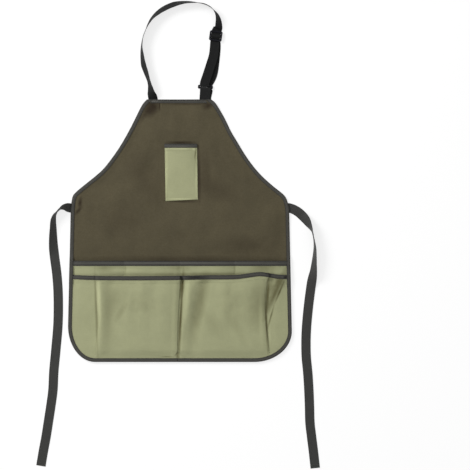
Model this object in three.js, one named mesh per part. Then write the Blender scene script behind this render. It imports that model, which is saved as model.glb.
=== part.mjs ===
import * as THREE from "three";

// A gardening apron laid flat on its back, front side up, millimetres.
// X runs across the apron, Y from the hem to the neck, Z up from the surface it lies on.
// Y = 0 is the waist line, where the armholes reach the sides.

// Body
const BIB_HEIGHT = 262;
const BIB_TOP_WIDTH = 171;
const BIB_SHIFT = -2.2;
const WAIST_WIDTH = 581;
const HEM_WIDTH = 595;
const SKIRT_HEIGHT = 436;
const HEM_CORNER_LEFT_X = 72;
const HEM_CORNER_LEFT_Y = 96;
const HEM_CORNER_RIGHT_X = 100;
const HEM_CORNER_RIGHT_Y = 82;

// Cloth, tape and webbing
const CLOTH = 1;
const TAPE = 0.8;
const CLEARANCE = 0.3;
const EDGE_TAPE_WIDTH = 10;
const TOP_TAPE_WIDTH = 10;
const WEBBING_WIDTH = 25;
const WEBBING = 1.3;
const TIE_WIDTH = 25;
const TIE = 1.2;
const SEWN_OVERLAP = 25;

// Pockets
const REAR_POCKET_TOP = -167;
const REAR_TAPE_WIDTH = 13.5;
const REAR_SWELL = 5.2;
const FRONT_POCKET_TOP = -206;
const FRONT_TAPE_WIDTH = 11;
const FRONT_SWELL = 7;
const MOUTH_SWELL = 1.5;
const POCKET_TUCK = 4;
const PLEAT_DEPTH = 15;
const PLEAT_ROOM = 20;
const CREASE_ROOM = 18;
const SIDE_ROOM = 8;
const SIDE_BLEND = 17;
const STITCH_LINE_LEFT = -149;
const STITCH_LINE_CENTRE = 0;
const STITCH_LINE_RIGHT = 145;
const BREAST_POCKET_WIDTH = 86;
const BREAST_POCKET_HEIGHT = 150;
const BREAST_POCKET_TOP = 144;
const BREAST_POCKET_X = 3.5;
const BREAST_TAPE_WIDTH = 10.5;
const BREAST_SWELL = 5.2;

// Neck strap, its slider, ring and tab
const NECK_RISE = 263;
const STRAP_END_INSET = 15.9;
const TAB_INSET = 17.3;
const TAB_WIDTH = 28;
const SLIDER_WIDTH = 34;
const SLIDER_HEIGHT = 27;
const SLIDER_THICKNESS = 3.2;
const SLIDER_BAR = 4.4;
const RING_WIDTH = 40;
const RING_SLOT_WIDTH = 31;
const RING_SLOT = 4;
const RING_BAR = 3.2;
const RING_TILT = 3;
const RING_RISE = 33;
const RING_DRIFT = 2.5;
const STRAP_LEAD = 2;
const TAB_LEAD = 3;
const TAB_SETTLE = 8;
const BAR_ROOM = 1;

// Waist ties
const TIE_Y = -26.5;
const TIE_LEFT_DROP_LENGTH = 686;
const TIE_RIGHT_DROP_LENGTH = 692;
const TIE_LEFT_SPREAD_WIDTH = 90;
const TIE_RIGHT_SPREAD_WIDTH = 72;

// Colours
const CANVAS = 0x574e3a;
const SAGE = 0x9ea07a;
const GREY_TAPE = 0x4a494b;
const TIE_GREY = 0x444442;
const WEBBING_BLACK = 0x222422;
const PLASTIC_BLACK = 0x1c1c20;

// Armhole edges. down: share of the bib height, across: share of the armhole's own width.
const ARMHOLE_LEFT = [
  { down: 0, across: 0 },
  { down: 0.054, across: 0.062 },
  { down: 0.163, across: 0.135 },
  { down: 0.235, across: 0.181 },
  { down: 0.308, across: 0.229 },
  { down: 0.454, across: 0.336 },
  { down: 0.578, across: 0.443 },
  { down: 0.698, across: 0.564 },
  { down: 0.775, across: 0.671 },
  { down: 0.859, across: 0.806 },
  { down: 0.947, across: 0.94 },
  { down: 1.0, across: 0.98 },
  { down: 1.118, across: 1.0 },
];
const ARMHOLE_RIGHT = [
  { down: 0, across: 0 },
  { down: 0.044, across: 0.06 },
  { down: 0.163, across: 0.152 },
  { down: 0.242, across: 0.203 },
  { down: 0.329, across: 0.256 },
  { down: 0.432, across: 0.334 },
  { down: 0.568, across: 0.439 },
  { down: 0.682, across: 0.543 },
  { down: 0.775, across: 0.647 },
  { down: 0.869, across: 0.777 },
  { down: 0.952, across: 0.908 },
  { down: 0.993, across: 0.954 },
  { down: 1.045, across: 0.981 },
  { down: 1.118, across: 1.0 },
];

// Fold lines of the front pocket. depth: share of the pocket's height below its mouth,
// the rest: places across the pocket as shares of half the hem width.
const FRONT_FOLDS = [
  { depth: 0, left: -0.752, boxLeft: 0.004, boxRight: 0.036, valley: 0.232, right: 0.79, crease: 0.94 },
  { depth: 0.16, left: -0.746, boxLeft: -0.003, boxRight: 0.028, valley: 0.2, right: 0.769, crease: 0.89 },
  { depth: 0.34, left: -0.74, boxLeft: -0.014, boxRight: 0.018, valley: 0.168, right: 0.764, crease: 0.842 },
  { depth: 0.55, left: -0.73, boxLeft: -0.021, boxRight: 0.006, valley: 0.138, right: 0.764, crease: 0.81 },
  { depth: 0.78, left: -0.745, boxLeft: -0.025, boxRight: -0.004, valley: 0.118, right: 0.785, crease: 0.81 },
  { depth: 1, left: -0.752, boxLeft: -0.022, boxRight: -0.008, valley: 0.107, right: 0.795, crease: 0.82 },
];

// Line of the front pocket's mouth. across: share of half the hem width,
// rise: share of the front tape's width above the nominal mouth.
const FRONT_MOUTH = [
  { across: -1, rise: 0.18 },
  { across: -0.75, rise: -0.08 },
  { across: -0.4, rise: -0.12 },
  { across: 0, rise: -0.05 },
  { across: 0.25, rise: 0.08 },
  { across: 0.5, rise: 0.16 },
  { across: 0.68, rise: 0.8 },
  { across: 0.75, rise: 0.78 },
  { across: 0.88, rise: 0.2 },
  { across: 1, rise: 0.15 },
];

// Neck strap from the left corner of the bib to the slider. across: share of the bib's top width
// from its left corner, up: share of the neck rise, roll: degrees that the webbing stands on edge.
const NECK_ROUTE = [
  { across: 0.067, up: 0.077, roll: 45 },
  { across: 0.047, up: 0.141, roll: 66 },
  { across: 0.0275, up: 0.19, roll: 71 },
  { across: -0.02, up: 0.285, roll: 60 },
  { across: -0.052, up: 0.348, roll: 57 },
  { across: -0.074, up: 0.45, roll: 69 },
  { across: -0.081, up: 0.53, roll: 81 },
  { across: -0.06, up: 0.627, roll: 87 },
  { across: -0.016, up: 0.705, roll: 86 },
  { across: 0.025, up: 0.762, roll: 79 },
  { across: 0.082, up: 0.819, roll: 71 },
  { across: 0.164, up: 0.87, roll: 60 },
  { across: 0.262, up: 0.914, roll: 53 },
  { across: 0.416, up: 0.958, roll: 53 },
  { across: 0.59, up: 0.979, roll: 70 },
  { across: 0.688, up: 0.98, roll: 76 },
  { across: 0.785, up: 0.975, roll: 84 },
  { across: 0.884, up: 0.964, roll: 88 },
  { across: 0.974, up: 0.938, roll: 88 },
  { across: 1.035, up: 0.903, roll: 86 },
  { across: 1.081, up: 0.863, roll: 74 },
  { across: 1.106, up: 0.817, roll: 60 },
  { across: 1.114, up: 0.778, roll: 50 },
  { across: 1.11, up: 0.74, roll: 36 },
];
// Layer from the slider down to the ring, and the layer behind it back up to the slider.
const FRONT_LAYER = [
  { across: 1.037, up: 0.452, roll: 0 },
  { across: 0.995, up: 0.358, roll: 0 },
  { across: 0.941, up: 0.25, roll: 0 },
];
const BACK_LAYER = [
  { across: 0.997, up: 0.235, roll: 0 },
  { across: 1.054, up: 0.4, roll: 0 },
  { across: 1.073, up: 0.554, roll: 0 },
];
const SLIDER_PLACE = { across: 1.07, up: 0.641 };
const SLIDER_TILT = 8;

// Waist ties. across: share of the tie's spread out from the apron's side, down: share of its drop.
const TIE_ROUTE_LEFT = [
  { across: 0.116, down: -0.004, roll: 36 },
  { across: 0.21, down: -0.003, roll: 53 },
  { across: 0.311, down: 0.004, roll: 80 },
  { across: 0.398, down: 0.016, roll: 81 },
  { across: 0.462, down: 0.028, roll: 68 },
  { across: 0.496, down: 0.047, roll: 56 },
  { across: 0.498, down: 0.079, roll: 49 },
  { across: 0.496, down: 0.111, roll: 37 },
  { across: 0.487, down: 0.144, roll: 24 },
  { across: 0.461, down: 0.179, roll: 5 },
  { across: 0.373, down: 0.26, roll: 0 },
  { across: 0.329, down: 0.33, roll: 0 },
  { across: 0.317, down: 0.446, roll: 0 },
  { across: 0.37, down: 0.551, roll: 0 },
  { across: 0.424, down: 0.636, roll: 0 },
  { across: 0.45, down: 0.706, roll: 0 },
  { across: 0.512, down: 0.768, roll: 0 },
  { across: 0.58, down: 0.826, roll: 0 },
  { across: 0.654, down: 0.888, roll: 0 },
  { across: 0.731, down: 0.942, roll: 0 },
  { across: 0.805, down: 1, roll: 0 },
];
const TIE_ROUTE_RIGHT = [
  { across: 0.27, down: 0.012, roll: 2 },
  { across: 0.465, down: 0.029, roll: 6 },
  { across: 0.62, down: 0.048, roll: 30 },
  { across: 0.736, down: 0.069, roll: 60 },
  { across: 0.825, down: 0.09, roll: 85 },
  { across: 0.863, down: 0.109, roll: 88 },
  { across: 0.893, down: 0.127, roll: 86 },
  { across: 0.915, down: 0.154, roll: 77 },
  { across: 0.9, down: 0.185, roll: 68 },
  { across: 0.876, down: 0.215, roll: 58 },
  { across: 0.846, down: 0.247, roll: 42 },
  { across: 0.787, down: 0.281, roll: 12 },
  { across: 0.739, down: 0.311, roll: 0 },
  { across: 0.643, down: 0.381, roll: 0 },
  { across: 0.561, down: 0.461, roll: 0 },
  { across: 0.533, down: 0.519, roll: 0 },
  { across: 0.536, down: 0.573, roll: 0 },
  { across: 0.589, down: 0.634, roll: 0 },
  { across: 0.629, down: 0.7, roll: 0 },
  { across: 0.652, down: 0.761, roll: 0 },
  { across: 0.67, down: 0.826, roll: 0 },
  { across: 0.725, down: 0.876, roll: 0 },
  { across: 0.799, down: 0.938, roll: 0 },
  { across: 0.866, down: 1, roll: 0 },
];

const { lerp, clamp, degToRad, smoothstep } = THREE.MathUtils;

// Heights of the layers where they are stacked at an edge, from the surface up
const BODY_EDGE_Z = TAPE + CLEARANCE;
const LAYER_PITCH = CLOTH + CLEARANCE;
const REAR_EDGE_Z = BODY_EDGE_Z + LAYER_PITCH;
const FRONT_EDGE_Z = REAR_EDGE_Z + LAYER_PITCH;
const TAPED_HALF = CLOTH / 2 + CLEARANCE + TAPE;
const EDGE_INSET = TAPE + CLEARANCE;
const EDGE_FLAT = EDGE_TAPE_WIDTH + 3;
const EDGE_SETTLED = EDGE_TAPE_WIDTH + 16;
const LIFT_MARGIN = 4;
const LIFT_FADE = 34;
const LIFT_SETTLED = SEWN_OVERLAP + LIFT_MARGIN + LIFT_FADE;
const HEM_Y = -SKIRT_HEIGHT;
const BIB_LEFT = BIB_SHIFT - BIB_TOP_WIDTH / 2;
const BIB_RIGHT = BIB_SHIFT + BIB_TOP_WIDTH / 2;
const STRAP_END_X = BIB_LEFT + STRAP_END_INSET;
const TAB_X = BIB_RIGHT - TAB_INSET;

// A point on an armhole edge, side -1 for the left one.
function armholePoint({ down, across }, side) {
  const top = side < 0 ? BIB_LEFT : BIB_RIGHT;
  return new THREE.Vector2(lerp(top, (side * WAIST_WIDTH) / 2, across), BIB_HEIGHT * (1 - down));
}

function armhole(table, side) {
  return new THREE.SplineCurve(table.map((row) => armholePoint(row, side))).getPoints(2 * (table.length - 1));
}

// The side edge's place across at height y, from the waist out to the hem.
function sideX(y, side) {
  return (side * lerp(WAIST_WIDTH, HEM_WIDTH, clamp(y / HEM_Y, 0, 1))) / 2;
}

// Heights at which the edge tape steps over the pockets' layers, from the waist down. Its upper leg has risen
// a little above each mouth and settles below the front one.
const STEP_ROOM = 3;
const STEP_RUN = 13;
const FRONT_STEP_ABOVE = 5;
const FRONT_STEP_BELOW = 4;
const FRONT_STEP_RUN = 16;
function sideSteps() {
  const tieFoot = TIE_Y - TIE_WIDTH / 2 - LIFT_MARGIN;
  const rearFoot = REAR_POCKET_TOP - REAR_TAPE_WIDTH - STEP_ROOM;
  const frontFoot = FRONT_POCKET_TOP - FRONT_TAPE_WIDTH - FRONT_STEP_BELOW;
  const overRear = REAR_EDGE_Z + 2 * TAPED_HALF + CLEARANCE;
  const overFront = FRONT_EDGE_Z + 2 * TAPED_HALF + CLEARANCE;
  return [
    { y: tieFoot, z: REAR_EDGE_Z },
    { y: tieFoot - LIFT_FADE, z: REAR_EDGE_Z },
    { y: REAR_POCKET_TOP + STEP_ROOM + STEP_RUN, z: REAR_EDGE_Z },
    { y: REAR_POCKET_TOP + STEP_ROOM, z: overRear },
    { y: rearFoot, z: overRear },
    { y: FRONT_POCKET_TOP + FRONT_STEP_ABOVE, z: overFront },
    { y: frontFoot, z: overFront },
    { y: frontFoot - FRONT_STEP_RUN, z: FRONT_EDGE_Z + LAYER_PITCH },
  ];
}

// Underside of the edge tape's upper leg at height y.
function upperLegZ(y) {
  const steps = sideSteps();
  if (y >= steps[0].y) return steps[0].z;
  for (let i = 1; i < steps.length; i++) {
    if (y >= steps[i].y) {
      const share = (steps[i - 1].y - y) / (steps[i - 1].y - steps[i].y);
      return lerp(steps[i - 1].z, steps[i].z, share);
    }
  }
  return steps.at(-1).z;
}

function hemCorner(side) {
  const a = side < 0 ? HEM_CORNER_LEFT_X : HEM_CORNER_RIGHT_X;
  const b = side < 0 ? HEM_CORNER_LEFT_Y : HEM_CORNER_RIGHT_Y;
  return { a, b, x: side * (HEM_WIDTH / 2 - a), y: HEM_Y + b };
}

// The apron's outer edge from the bib's left corner round the hem to its right corner,
// counter-clockwise seen from the front.
const CORNER_PARTS = 8;
const HEM_PARTS = 6;
function openOutline() {
  const left = hemCorner(-1);
  const right = hemCorner(1);
  const down = (side) => sideSteps().map((step) => new THREE.Vector2(sideX(step.y, side), step.y));
  const arc = ({ x, y, a, b }, from) => new THREE.EllipseCurve(x, y, a, b, from, from + Math.PI / 2, false);
  const leftArc = arc(left, Math.PI);
  const rightArc = arc(right, Math.PI * 1.5);
  const hem = [];
  for (let i = 1; i < HEM_PARTS; i++) hem.push(new THREE.Vector2(lerp(left.x, right.x, i / HEM_PARTS), HEM_Y));
  return [
    ...armhole(ARMHOLE_LEFT, -1),
    ...down(-1),
    ...leftArc.getPoints(CORNER_PARTS),
    ...hem,
    ...rightArc.getPoints(CORNER_PARTS),
    ...down(1).reverse(),
    ...armhole(ARMHOLE_RIGHT, 1).reverse(),
  ];
}

// Points along the bib's top edge between its corners, right to left, close together over the sewn ends.
const TAB_REACH = 10.1;
const STRAP_REACH = 6;
function topEdge() {
  const half = TAB_WIDTH / 2 + LIFT_MARGIN;
  const xs = [TAB_X + TAB_REACH, TAB_X - half, TAB_X - half - LIFT_FADE, BIB_SHIFT];
  xs.push(STRAP_END_X + half + LIFT_FADE, STRAP_END_X + half, STRAP_END_X - STRAP_REACH);
  return xs.map((x) => new THREE.Vector2(x, BIB_HEIGHT));
}

const openEdge = openOutline();
const closedEdge = [...openEdge, ...topEdge()];

// Sewn ends of the straps and ties behind the panel, and how far each raises it.
const SEWN_HALF = SEWN_OVERLAP / 2;
const SEWN_TOP = BIB_HEIGHT - SEWN_HALF;
const SEWN_LEFT = sideX(TIE_Y, -1) + SEWN_HALF;
const SEWN_RIGHT = sideX(TIE_Y, 1) - SEWN_HALF;
const SEWN_ENDS = [
  { x: STRAP_END_X, y: SEWN_TOP, w: WEBBING_WIDTH, h: SEWN_OVERLAP, rise: WEBBING + CLEARANCE },
  { x: TAB_X, y: SEWN_TOP, w: TAB_WIDTH, h: SEWN_OVERLAP, rise: 2 * (WEBBING + CLEARANCE) },
  { x: SEWN_LEFT, y: TIE_Y, w: SEWN_OVERLAP, h: TIE_WIDTH, rise: TIE + CLEARANCE },
  { x: SEWN_RIGHT, y: TIE_Y, w: SEWN_OVERLAP, h: TIE_WIDTH, rise: TIE + CLEARANCE },
];

// How far the panel and its edge tape are raised at a point by the ends sewn beneath them.
function lift(p) {
  let rise = 0;
  for (const end of SEWN_ENDS) {
    const dx = Math.max(Math.abs(p.x - end.x) - end.w / 2, 0);
    const dy = Math.max(Math.abs(p.y - end.y) - end.h / 2, 0);
    const away = Math.hypot(dx, dy);
    rise = Math.max(rise, end.rise * (1 - smoothstep(away, LIFT_MARGIN, LIFT_MARGIN + LIFT_FADE)));
  }
  return rise;
}

// Inward mitre of point i of an edge, scaled so that both neighbouring sides move in by 1.
function mitre(edge, i, closed) {
  const before = closed || i > 0 ? edge.at(i - 1) : null;
  const after = closed ? edge[(i + 1) % edge.length] : edge[i + 1];
  const normal = (a, b) => new THREE.Vector2(a.y - b.y, b.x - a.x).normalize();
  const n1 = before ? normal(before, edge[i]) : normal(edge[i], after);
  const n2 = after ? normal(edge[i], after) : n1;
  return n1.clone().add(n2).divideScalar(1 + n1.dot(n2));
}

// The edge moved in by a distance, without the points that a tight corner would turn over.
const KEPT_SHARE = 0.998;
function insetLoop(edge, distance) {
  const moved = edge.map((p, i) => p.clone().addScaledVector(mitre(edge, i, true), distance));
  return moved.filter((p) => distanceTo(edge, p) > distance * KEPT_SHARE);
}

function distanceTo(edge, p) {
  let nearest = Infinity;
  const on = new THREE.Vector3();
  const here = new THREE.Vector3(p.x, p.y, 0);
  for (let i = 0; i < edge.length; i++) {
    const a = edge.at(i - 1);
    const side = new THREE.Line3(new THREE.Vector3(a.x, a.y, 0), new THREE.Vector3(edge[i].x, edge[i].y, 0));
    side.closestPointToPoint(here, true, on);
    nearest = Math.min(nearest, on.distanceTo(here));
  }
  return nearest;
}

// A mesh from shared corners and faces, turned so that its faces point out.
function closedMesh(name, points, faces, material) {
  let volume = 0;
  for (const [a, b, c] of faces) {
    volume += points[a].dot(points[b].clone().cross(points[c]));
  }
  const outward = volume < 0 ? faces.map(([a, b, c]) => [a, c, b]) : faces;
  const geometry = new THREE.BufferGeometry().setFromPoints(points);
  geometry.setIndex(outward.flat());
  geometry.computeVertexNormals();
  const mesh = new THREE.Mesh(geometry, material);
  mesh.name = name;
  return mesh;
}

// Two faces on the corners a, b of one line and c, d of the next. They share the shorter diagonal,
// or the higher one where both are much alike, so that stacked layers bend along the same lines.
const ALIKE = 0.1;
function quad(points, a, b, c, d) {
  const ad = points[a].distanceTo(points[d]);
  const bc = points[b].distanceTo(points[c]);
  const higher = points[a].z + points[d].z >= points[b].z + points[c].z;
  const alike = Math.abs(ad - bc) < ALIKE * ad;
  return (alike ? higher : ad < bc) ? [[a, b, d], [a, d, c]] : [[a, b, c], [b, d, c]];
}

// A solid through sections that each hold an outer and an inner line of as many points.
function loft(name, sections, material) {
  const count = sections[0].outer.length;
  const ring = 2 * count;
  const points = sections.flatMap(({ outer, inner }) => [...outer, ...inner.toReversed()]);
  const faces = [];
  for (let s = 0; s + 1 < sections.length; s++) {
    for (let k = 0; k < ring; k++) {
      const a = s * ring + k;
      const b = s * ring + ((k + 1) % ring);
      faces.push(...quad(points, a, b, a + ring, b + ring));
    }
  }
  const last = (sections.length - 1) * ring;
  for (let k = 0; k + 1 < count; k++) {
    const across = ring - 1 - k;
    faces.push([k, across, k + 1], [k + 1, across, across - 1]);
    faces.push([last + k, last + k + 1, last + across], [last + k + 1, last + across - 1, last + across]);
  }
  return closedMesh(name, points, faces, material);
}

function clothMaterial(color, roughness) {
  return new THREE.MeshStandardMaterial({ color, roughness, metalness: 0 });
}

// Faces between two loops that run the same way, the second one inside the first.
function ringFaces(outer, inner, first) {
  const faces = [];
  let i = 0;
  let j = 0;
  while (i < outer.length || j < inner.length) {
    const a = first + (i % outer.length);
    const b = first + ((i + 1) % outer.length);
    const c = first + outer.length + (j % inner.length);
    const d = first + outer.length + ((j + 1) % inner.length);
    const onOuter = outer[(i + 1) % outer.length].distanceTo(inner[j % inner.length]);
    const onInner = outer[i % outer.length].distanceTo(inner[(j + 1) % inner.length]);
    if (j === inner.length || (i < outer.length && onOuter < onInner)) {
      faces.push([a, b, c]);
      i++;
    } else {
      faces.push([a, d, c]);
      j++;
    }
  }
  return faces;
}

// A loop's corners without those that lie on a straight run or close behind another.
const STRAIGHT = 0.002;
function cornersOf(loop) {
  const apart = loop.filter((p, i) => p.distanceTo(loop.at(i - 1)) > CLOTH);
  return apart.filter((p, i) => {
    const before = p.clone().sub(apart.at(i - 1)).normalize();
    const after = apart[(i + 1) % apart.length].clone().sub(p).normalize();
    return Math.abs(before.cross(after)) > STRAIGHT;
  });
}

// Canvas panel: bib and skirt, raised over the edge tape's lower leg and over the sewn ends.
function bodyPanel() {
  const insets = [EDGE_INSET, EDGE_TAPE_WIDTH, EDGE_SETTLED, LIFT_SETTLED];
  const heights = [BODY_EDGE_Z, BODY_EDGE_Z, 0, 0];
  const loops = insets.map((inset) => insetLoop(closedEdge, inset));
  loops.push(cornersOf(loops.pop()));
  const under = loops.flatMap((loop, k) => loop.map((p) => new THREE.Vector3(p.x, p.y, heights[k] + lift(p))));
  const over = under.map((p) => new THREE.Vector3(p.x, p.y, p.z + CLOTH));
  const count = under.length;
  const plan = [];
  let first = 0;
  loops.forEach((loop, k) => {
    if (loops[k + 1]?.length === loop.length) {
      for (let i = 0; i < loop.length; i++) {
        const a = first + i;
        const b = first + ((i + 1) % loop.length);
        plan.push(...quad(under, a, b, a + loop.length, b + loop.length));
      }
    } else if (k + 1 < loops.length) plan.push(...ringFaces(loop, loops[k + 1], first));
    else plan.push(...THREE.ShapeUtils.triangulateShape(loop, []).map((face) => face.map((i) => first + i)));
    first += loop.length;
  });
  const faces = plan.flatMap(([a, b, c]) => [[count + a, count + b, count + c], [a, c, b]]);
  const edge = loops[0].length;
  for (let i = 0; i < edge; i++) {
    const j = (i + 1) % edge;
    faces.push([i, j, count + j], [i, count + j, count + i]);
  }
  return closedMesh("body_panel", [...under, ...over], faces, clothMaterial(CANVAS, 0.92));
}

// Tape folded over an edge: a lower leg, a wall outside the edge and an upper leg.
function foldedTape(name, stations, width) {
  const sections = stations.map(({ p, inward, high }) => {
    const at = (s, z) => {
      const on = p.clone().addScaledVector(inward, s);
      return new THREE.Vector3(on.x, on.y, z + lift(on));
    };
    return {
      outer: [at(width, 0), at(0, 0), at(0, high + TAPE), at(width, high + TAPE)],
      inner: [at(width, TAPE), at(TAPE, TAPE), at(TAPE, high), at(width, high)],
    };
  });
  return loft(name, sections, clothMaterial(GREY_TAPE, 0.85));
}

// Cut of the side tape's ends, level with the bib's top edge.
function levelCut(p, next) {
  const normal = new THREE.Vector2(p.y - next.y, next.x - p.x).normalize();
  return new THREE.Vector2(1 / normal.x, 0);
}

function sideBinding() {
  const last = openEdge.length - 1;
  const stations = openEdge.map((p, i) => {
    let inward = mitre(openEdge, i, false);
    if (i === 0) inward = levelCut(p, openEdge[1]);
    if (i === last) inward = levelCut(openEdge[last - 1], p);
    return { p, inward, high: upperLegZ(p.y) };
  });
  return foldedTape("side_binding", stations, EDGE_TAPE_WIDTH);
}

// Tape over the bib's top edge, between the two ends of the side tape.
function topBinding() {
  const last = openEdge.length - 1;
  const slantLeft = openEdge[3].clone().sub(openEdge[0]);
  const slantRight = openEdge[last - 3].clone().sub(openEdge[last]);
  const reachLeft = levelCut(openEdge[0], openEdge[1]).x * EDGE_TAPE_WIDTH + 2 * CLEARANCE;
  const reachRight = levelCut(openEdge[last - 1], openEdge[last]).x * EDGE_TAPE_WIDTH - 2 * CLEARANCE;
  const start = new THREE.Vector2(BIB_LEFT + reachLeft, BIB_HEIGHT);
  const end = new THREE.Vector2(BIB_RIGHT + reachRight, BIB_HEIGHT);
  const between = topEdge().filter((p) => p.x > start.x + 2 && p.x < end.x - 2);
  const path = [start, ...between.reverse(), end];
  const stations = path.map((p, i) => {
    let inward = new THREE.Vector2(0, -1);
    if (i === 0) inward = slantLeft.clone().divideScalar(-slantLeft.y);
    if (i === path.length - 1) inward = slantRight.clone().divideScalar(-slantRight.y);
    return { p, inward, high: REAR_EDGE_Z };
  });
  return foldedTape("top_binding", stations, TOP_TAPE_WIDTH);
}

// Unit normals of a line across the cloth, mitred at its corners, in the XZ plane.
function lineNormals(line) {
  const flat = line.map((p) => new THREE.Vector2(p.x, p.z));
  return flat.map((_, i) => {
    const inward = mitre(flat, i, false);
    return new THREE.Vector3(inward.x, 0, inward.y);
  });
}

// Cloth of even thickness through lines across it, from its mouth down.
function cloth(name, rows, color) {
  const sections = rows.map((row) => {
    const normals = lineNormals(row);
    return {
      outer: row.map((p, i) => p.clone().addScaledVector(normals[i], CLOTH / 2)),
      inner: row.map((p, i) => p.clone().addScaledVector(normals[i], -CLOTH / 2)),
    };
  });
  return loft(name, sections, clothMaterial(color, 0.9));
}

// Tape folded over a pocket's mouth, along the top line of its cloth.
function mouthTape(name, row, width) {
  const normals = lineNormals(row);
  const sections = row.map((p, i) => {
    const at = (away, down) => {
      const on = p.clone().addScaledVector(normals[i], away);
      return on.setY(p.y + EDGE_INSET - down);
    };
    const outside = TAPED_HALF;
    const inside = TAPED_HALF - TAPE;
    return {
      outer: [at(outside, width), at(outside, 0), at(-outside, 0), at(-outside, width)],
      inner: [at(inside, width), at(inside, TAPE), at(-inside, TAPE), at(-inside, width)],
    };
  });
  return loft(name, sections, clothMaterial(GREY_TAPE, 0.85));
}

// Lower boundary of the pockets at a place across, tucked under the hem tape.
function tuckedHemY(x) {
  for (const side of [-1, 1]) {
    const corner = hemCorner(side);
    const out = side * (x - corner.x);
    if (out > 0) {
      const share = Math.min(out / (corner.a - POCKET_TUCK), 1);
      return corner.y - (corner.b - POCKET_TUCK) * Math.sqrt(1 - share * share);
    }
  }
  return HEM_Y + POCKET_TUCK;
}

// Rows of both skirt pockets: straight down to the bend, then following the rounded hem.
const BEND_ROOM = 20;
const BEND_Y = HEM_Y + Math.max(HEM_CORNER_LEFT_Y, HEM_CORNER_RIGHT_Y) + BEND_ROOM;
function belowBend(x, share) {
  return lerp(BEND_Y, tuckedHemY(x), share);
}

// How much of the rear pocket's swell is left at height y.
function rearFade(y) {
  const start = FRONT_POCKET_TOP - FRONT_TAPE_WIDTH - 4;
  return 1 - smoothstep(start - y, 0, (start - HEM_Y) * 0.75);
}

const MOUTH_MARGIN = 2;
function inRearMouth(y) {
  return y > REAR_POCKET_TOP - REAR_TAPE_WIDTH - MOUTH_MARGIN - 0.1;
}

function rearBounds(y) {
  const left = sideX(y, -1) + EDGE_FLAT;
  const right = sideX(y, 1) - EDGE_FLAT;
  return [left, STITCH_LINE_LEFT, STITCH_LINE_CENTRE, STITCH_LINE_RIGHT, right];
}

// Height of the rear pocket cloth's middle layer, sewn down at its stitch lines.
function rearZ(x, y, flat) {
  const half = inRearMouth(y) ? TAPED_HALF : CLOTH / 2;
  const edge = REAR_EDGE_Z + half;
  const sewn = CLOTH + CLEARANCE + half;
  const bounds = rearBounds(y);
  if (flat || x <= bounds[0] || x >= bounds.at(-1)) return edge;
  const k = bounds.findLastIndex((bound) => x >= bound);
  const t = (x - bounds[k]) / (bounds[k + 1] - bounds[k]);
  const base = lerp(k === 0 ? edge : sewn, k === bounds.length - 2 ? edge : sewn, t);
  return base + REAR_SWELL * rearFade(y) * (1 - Math.abs(2 * t - 1) ** 3);
}

function rearPocketRows() {
  const shares = [0, 0.12, 0.3, 0.5, 0.7, 0.88];
  const line = (y, share, flat) => {
    const bounds = rearBounds(y);
    const xs = [sideX(y, -1) + POCKET_TUCK];
    for (let k = 0; k + 1 < bounds.length; k++) xs.push(...shares.map((t) => lerp(bounds[k], bounds[k + 1], t)));
    xs.push(bounds.at(-1), sideX(y, 1) - POCKET_TUCK);
    return xs.map((x) => new THREE.Vector3(x, share === null ? y : belowBend(x, share), rearZ(x, y, flat)));
  };
  const mouthEnd = REAR_POCKET_TOP - REAR_TAPE_WIDTH - MOUTH_MARGIN;
  const straight = [REAR_POCKET_TOP - EDGE_INSET, mouthEnd, mouthEnd - 4];
  for (const share of [0.15, 0.35, 0.6, 0.8, 1]) straight.push(lerp(mouthEnd, BEND_Y, share));
  return [
    ...straight.map((y) => line(y, null, false)),
    ...[0.3, 0.55, 0.8, 1].map((share) => line(lerp(BEND_Y, HEM_Y, share), share, share > 0.7)),
  ];
}

// A row of a table with a rising first column, read between its rows.
function between(table, key, value) {
  const k = clamp(table.findLastIndex((row) => row[key] <= value), 0, table.length - 2);
  const share = clamp((value - table[k][key]) / (table[k + 1][key] - table[k][key]), 0, 1);
  const read = (column) => lerp(table[k][column], table[k + 1][column], share);
  return Object.fromEntries(Object.keys(table[k]).map((column) => [column, read(column)]));
}

function frontMouthY(x) {
  return FRONT_POCKET_TOP + FRONT_TAPE_WIDTH * between(FRONT_MOUTH, "across", (2 * x) / HEM_WIDTH).rise;
}

// A half turn of the cloth at x, bulging to side, from one layer's height to the next one's.
function turn(x, side, from, to) {
  const radius = Math.abs(to - from) / 2;
  const flat = radius * Math.tan(Math.PI / 8);
  const way = Math.sign(to - from);
  const near = x - side * (radius - flat);
  return [
    [near, from],
    [x, from + way * (radius - flat)],
    [x, from + way * (radius + flat)],
    [near, to],
  ];
}

// The same corners spread out flat over eight millimetres from x, where the pleat ends at the hem.
const PLEAT_SPREAD = 8;
function spread(x, side, z) {
  const start = side < 0 ? x - PLEAT_SPREAD : x;
  return Array.from({ length: 8 }, (_, i) => [start + ((i + 0.5) * PLEAT_SPREAD) / 8, z]);
}

// Swell of the front pocket between its folds, as [share of the run, share of the swell].
const LEFT_RUN = [[0.07, 0.8], [0.2, 1], [0.45, 0.9], [0.7, 0.95], [0.9, 0.55]];
const CENTRE_RUN = [[0.25, 0.6], [0.65, 0.6]];
const RIGHT_RUN = [[0.12, 0.65], [0.35, 1], [0.6, 0.9], [0.85, 0.75]];
const VALLEY_RISE = 0.25;

// Room between the two skirt pockets beside the layers' own clearance.
const POCKET_EASE = 1.2;

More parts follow.
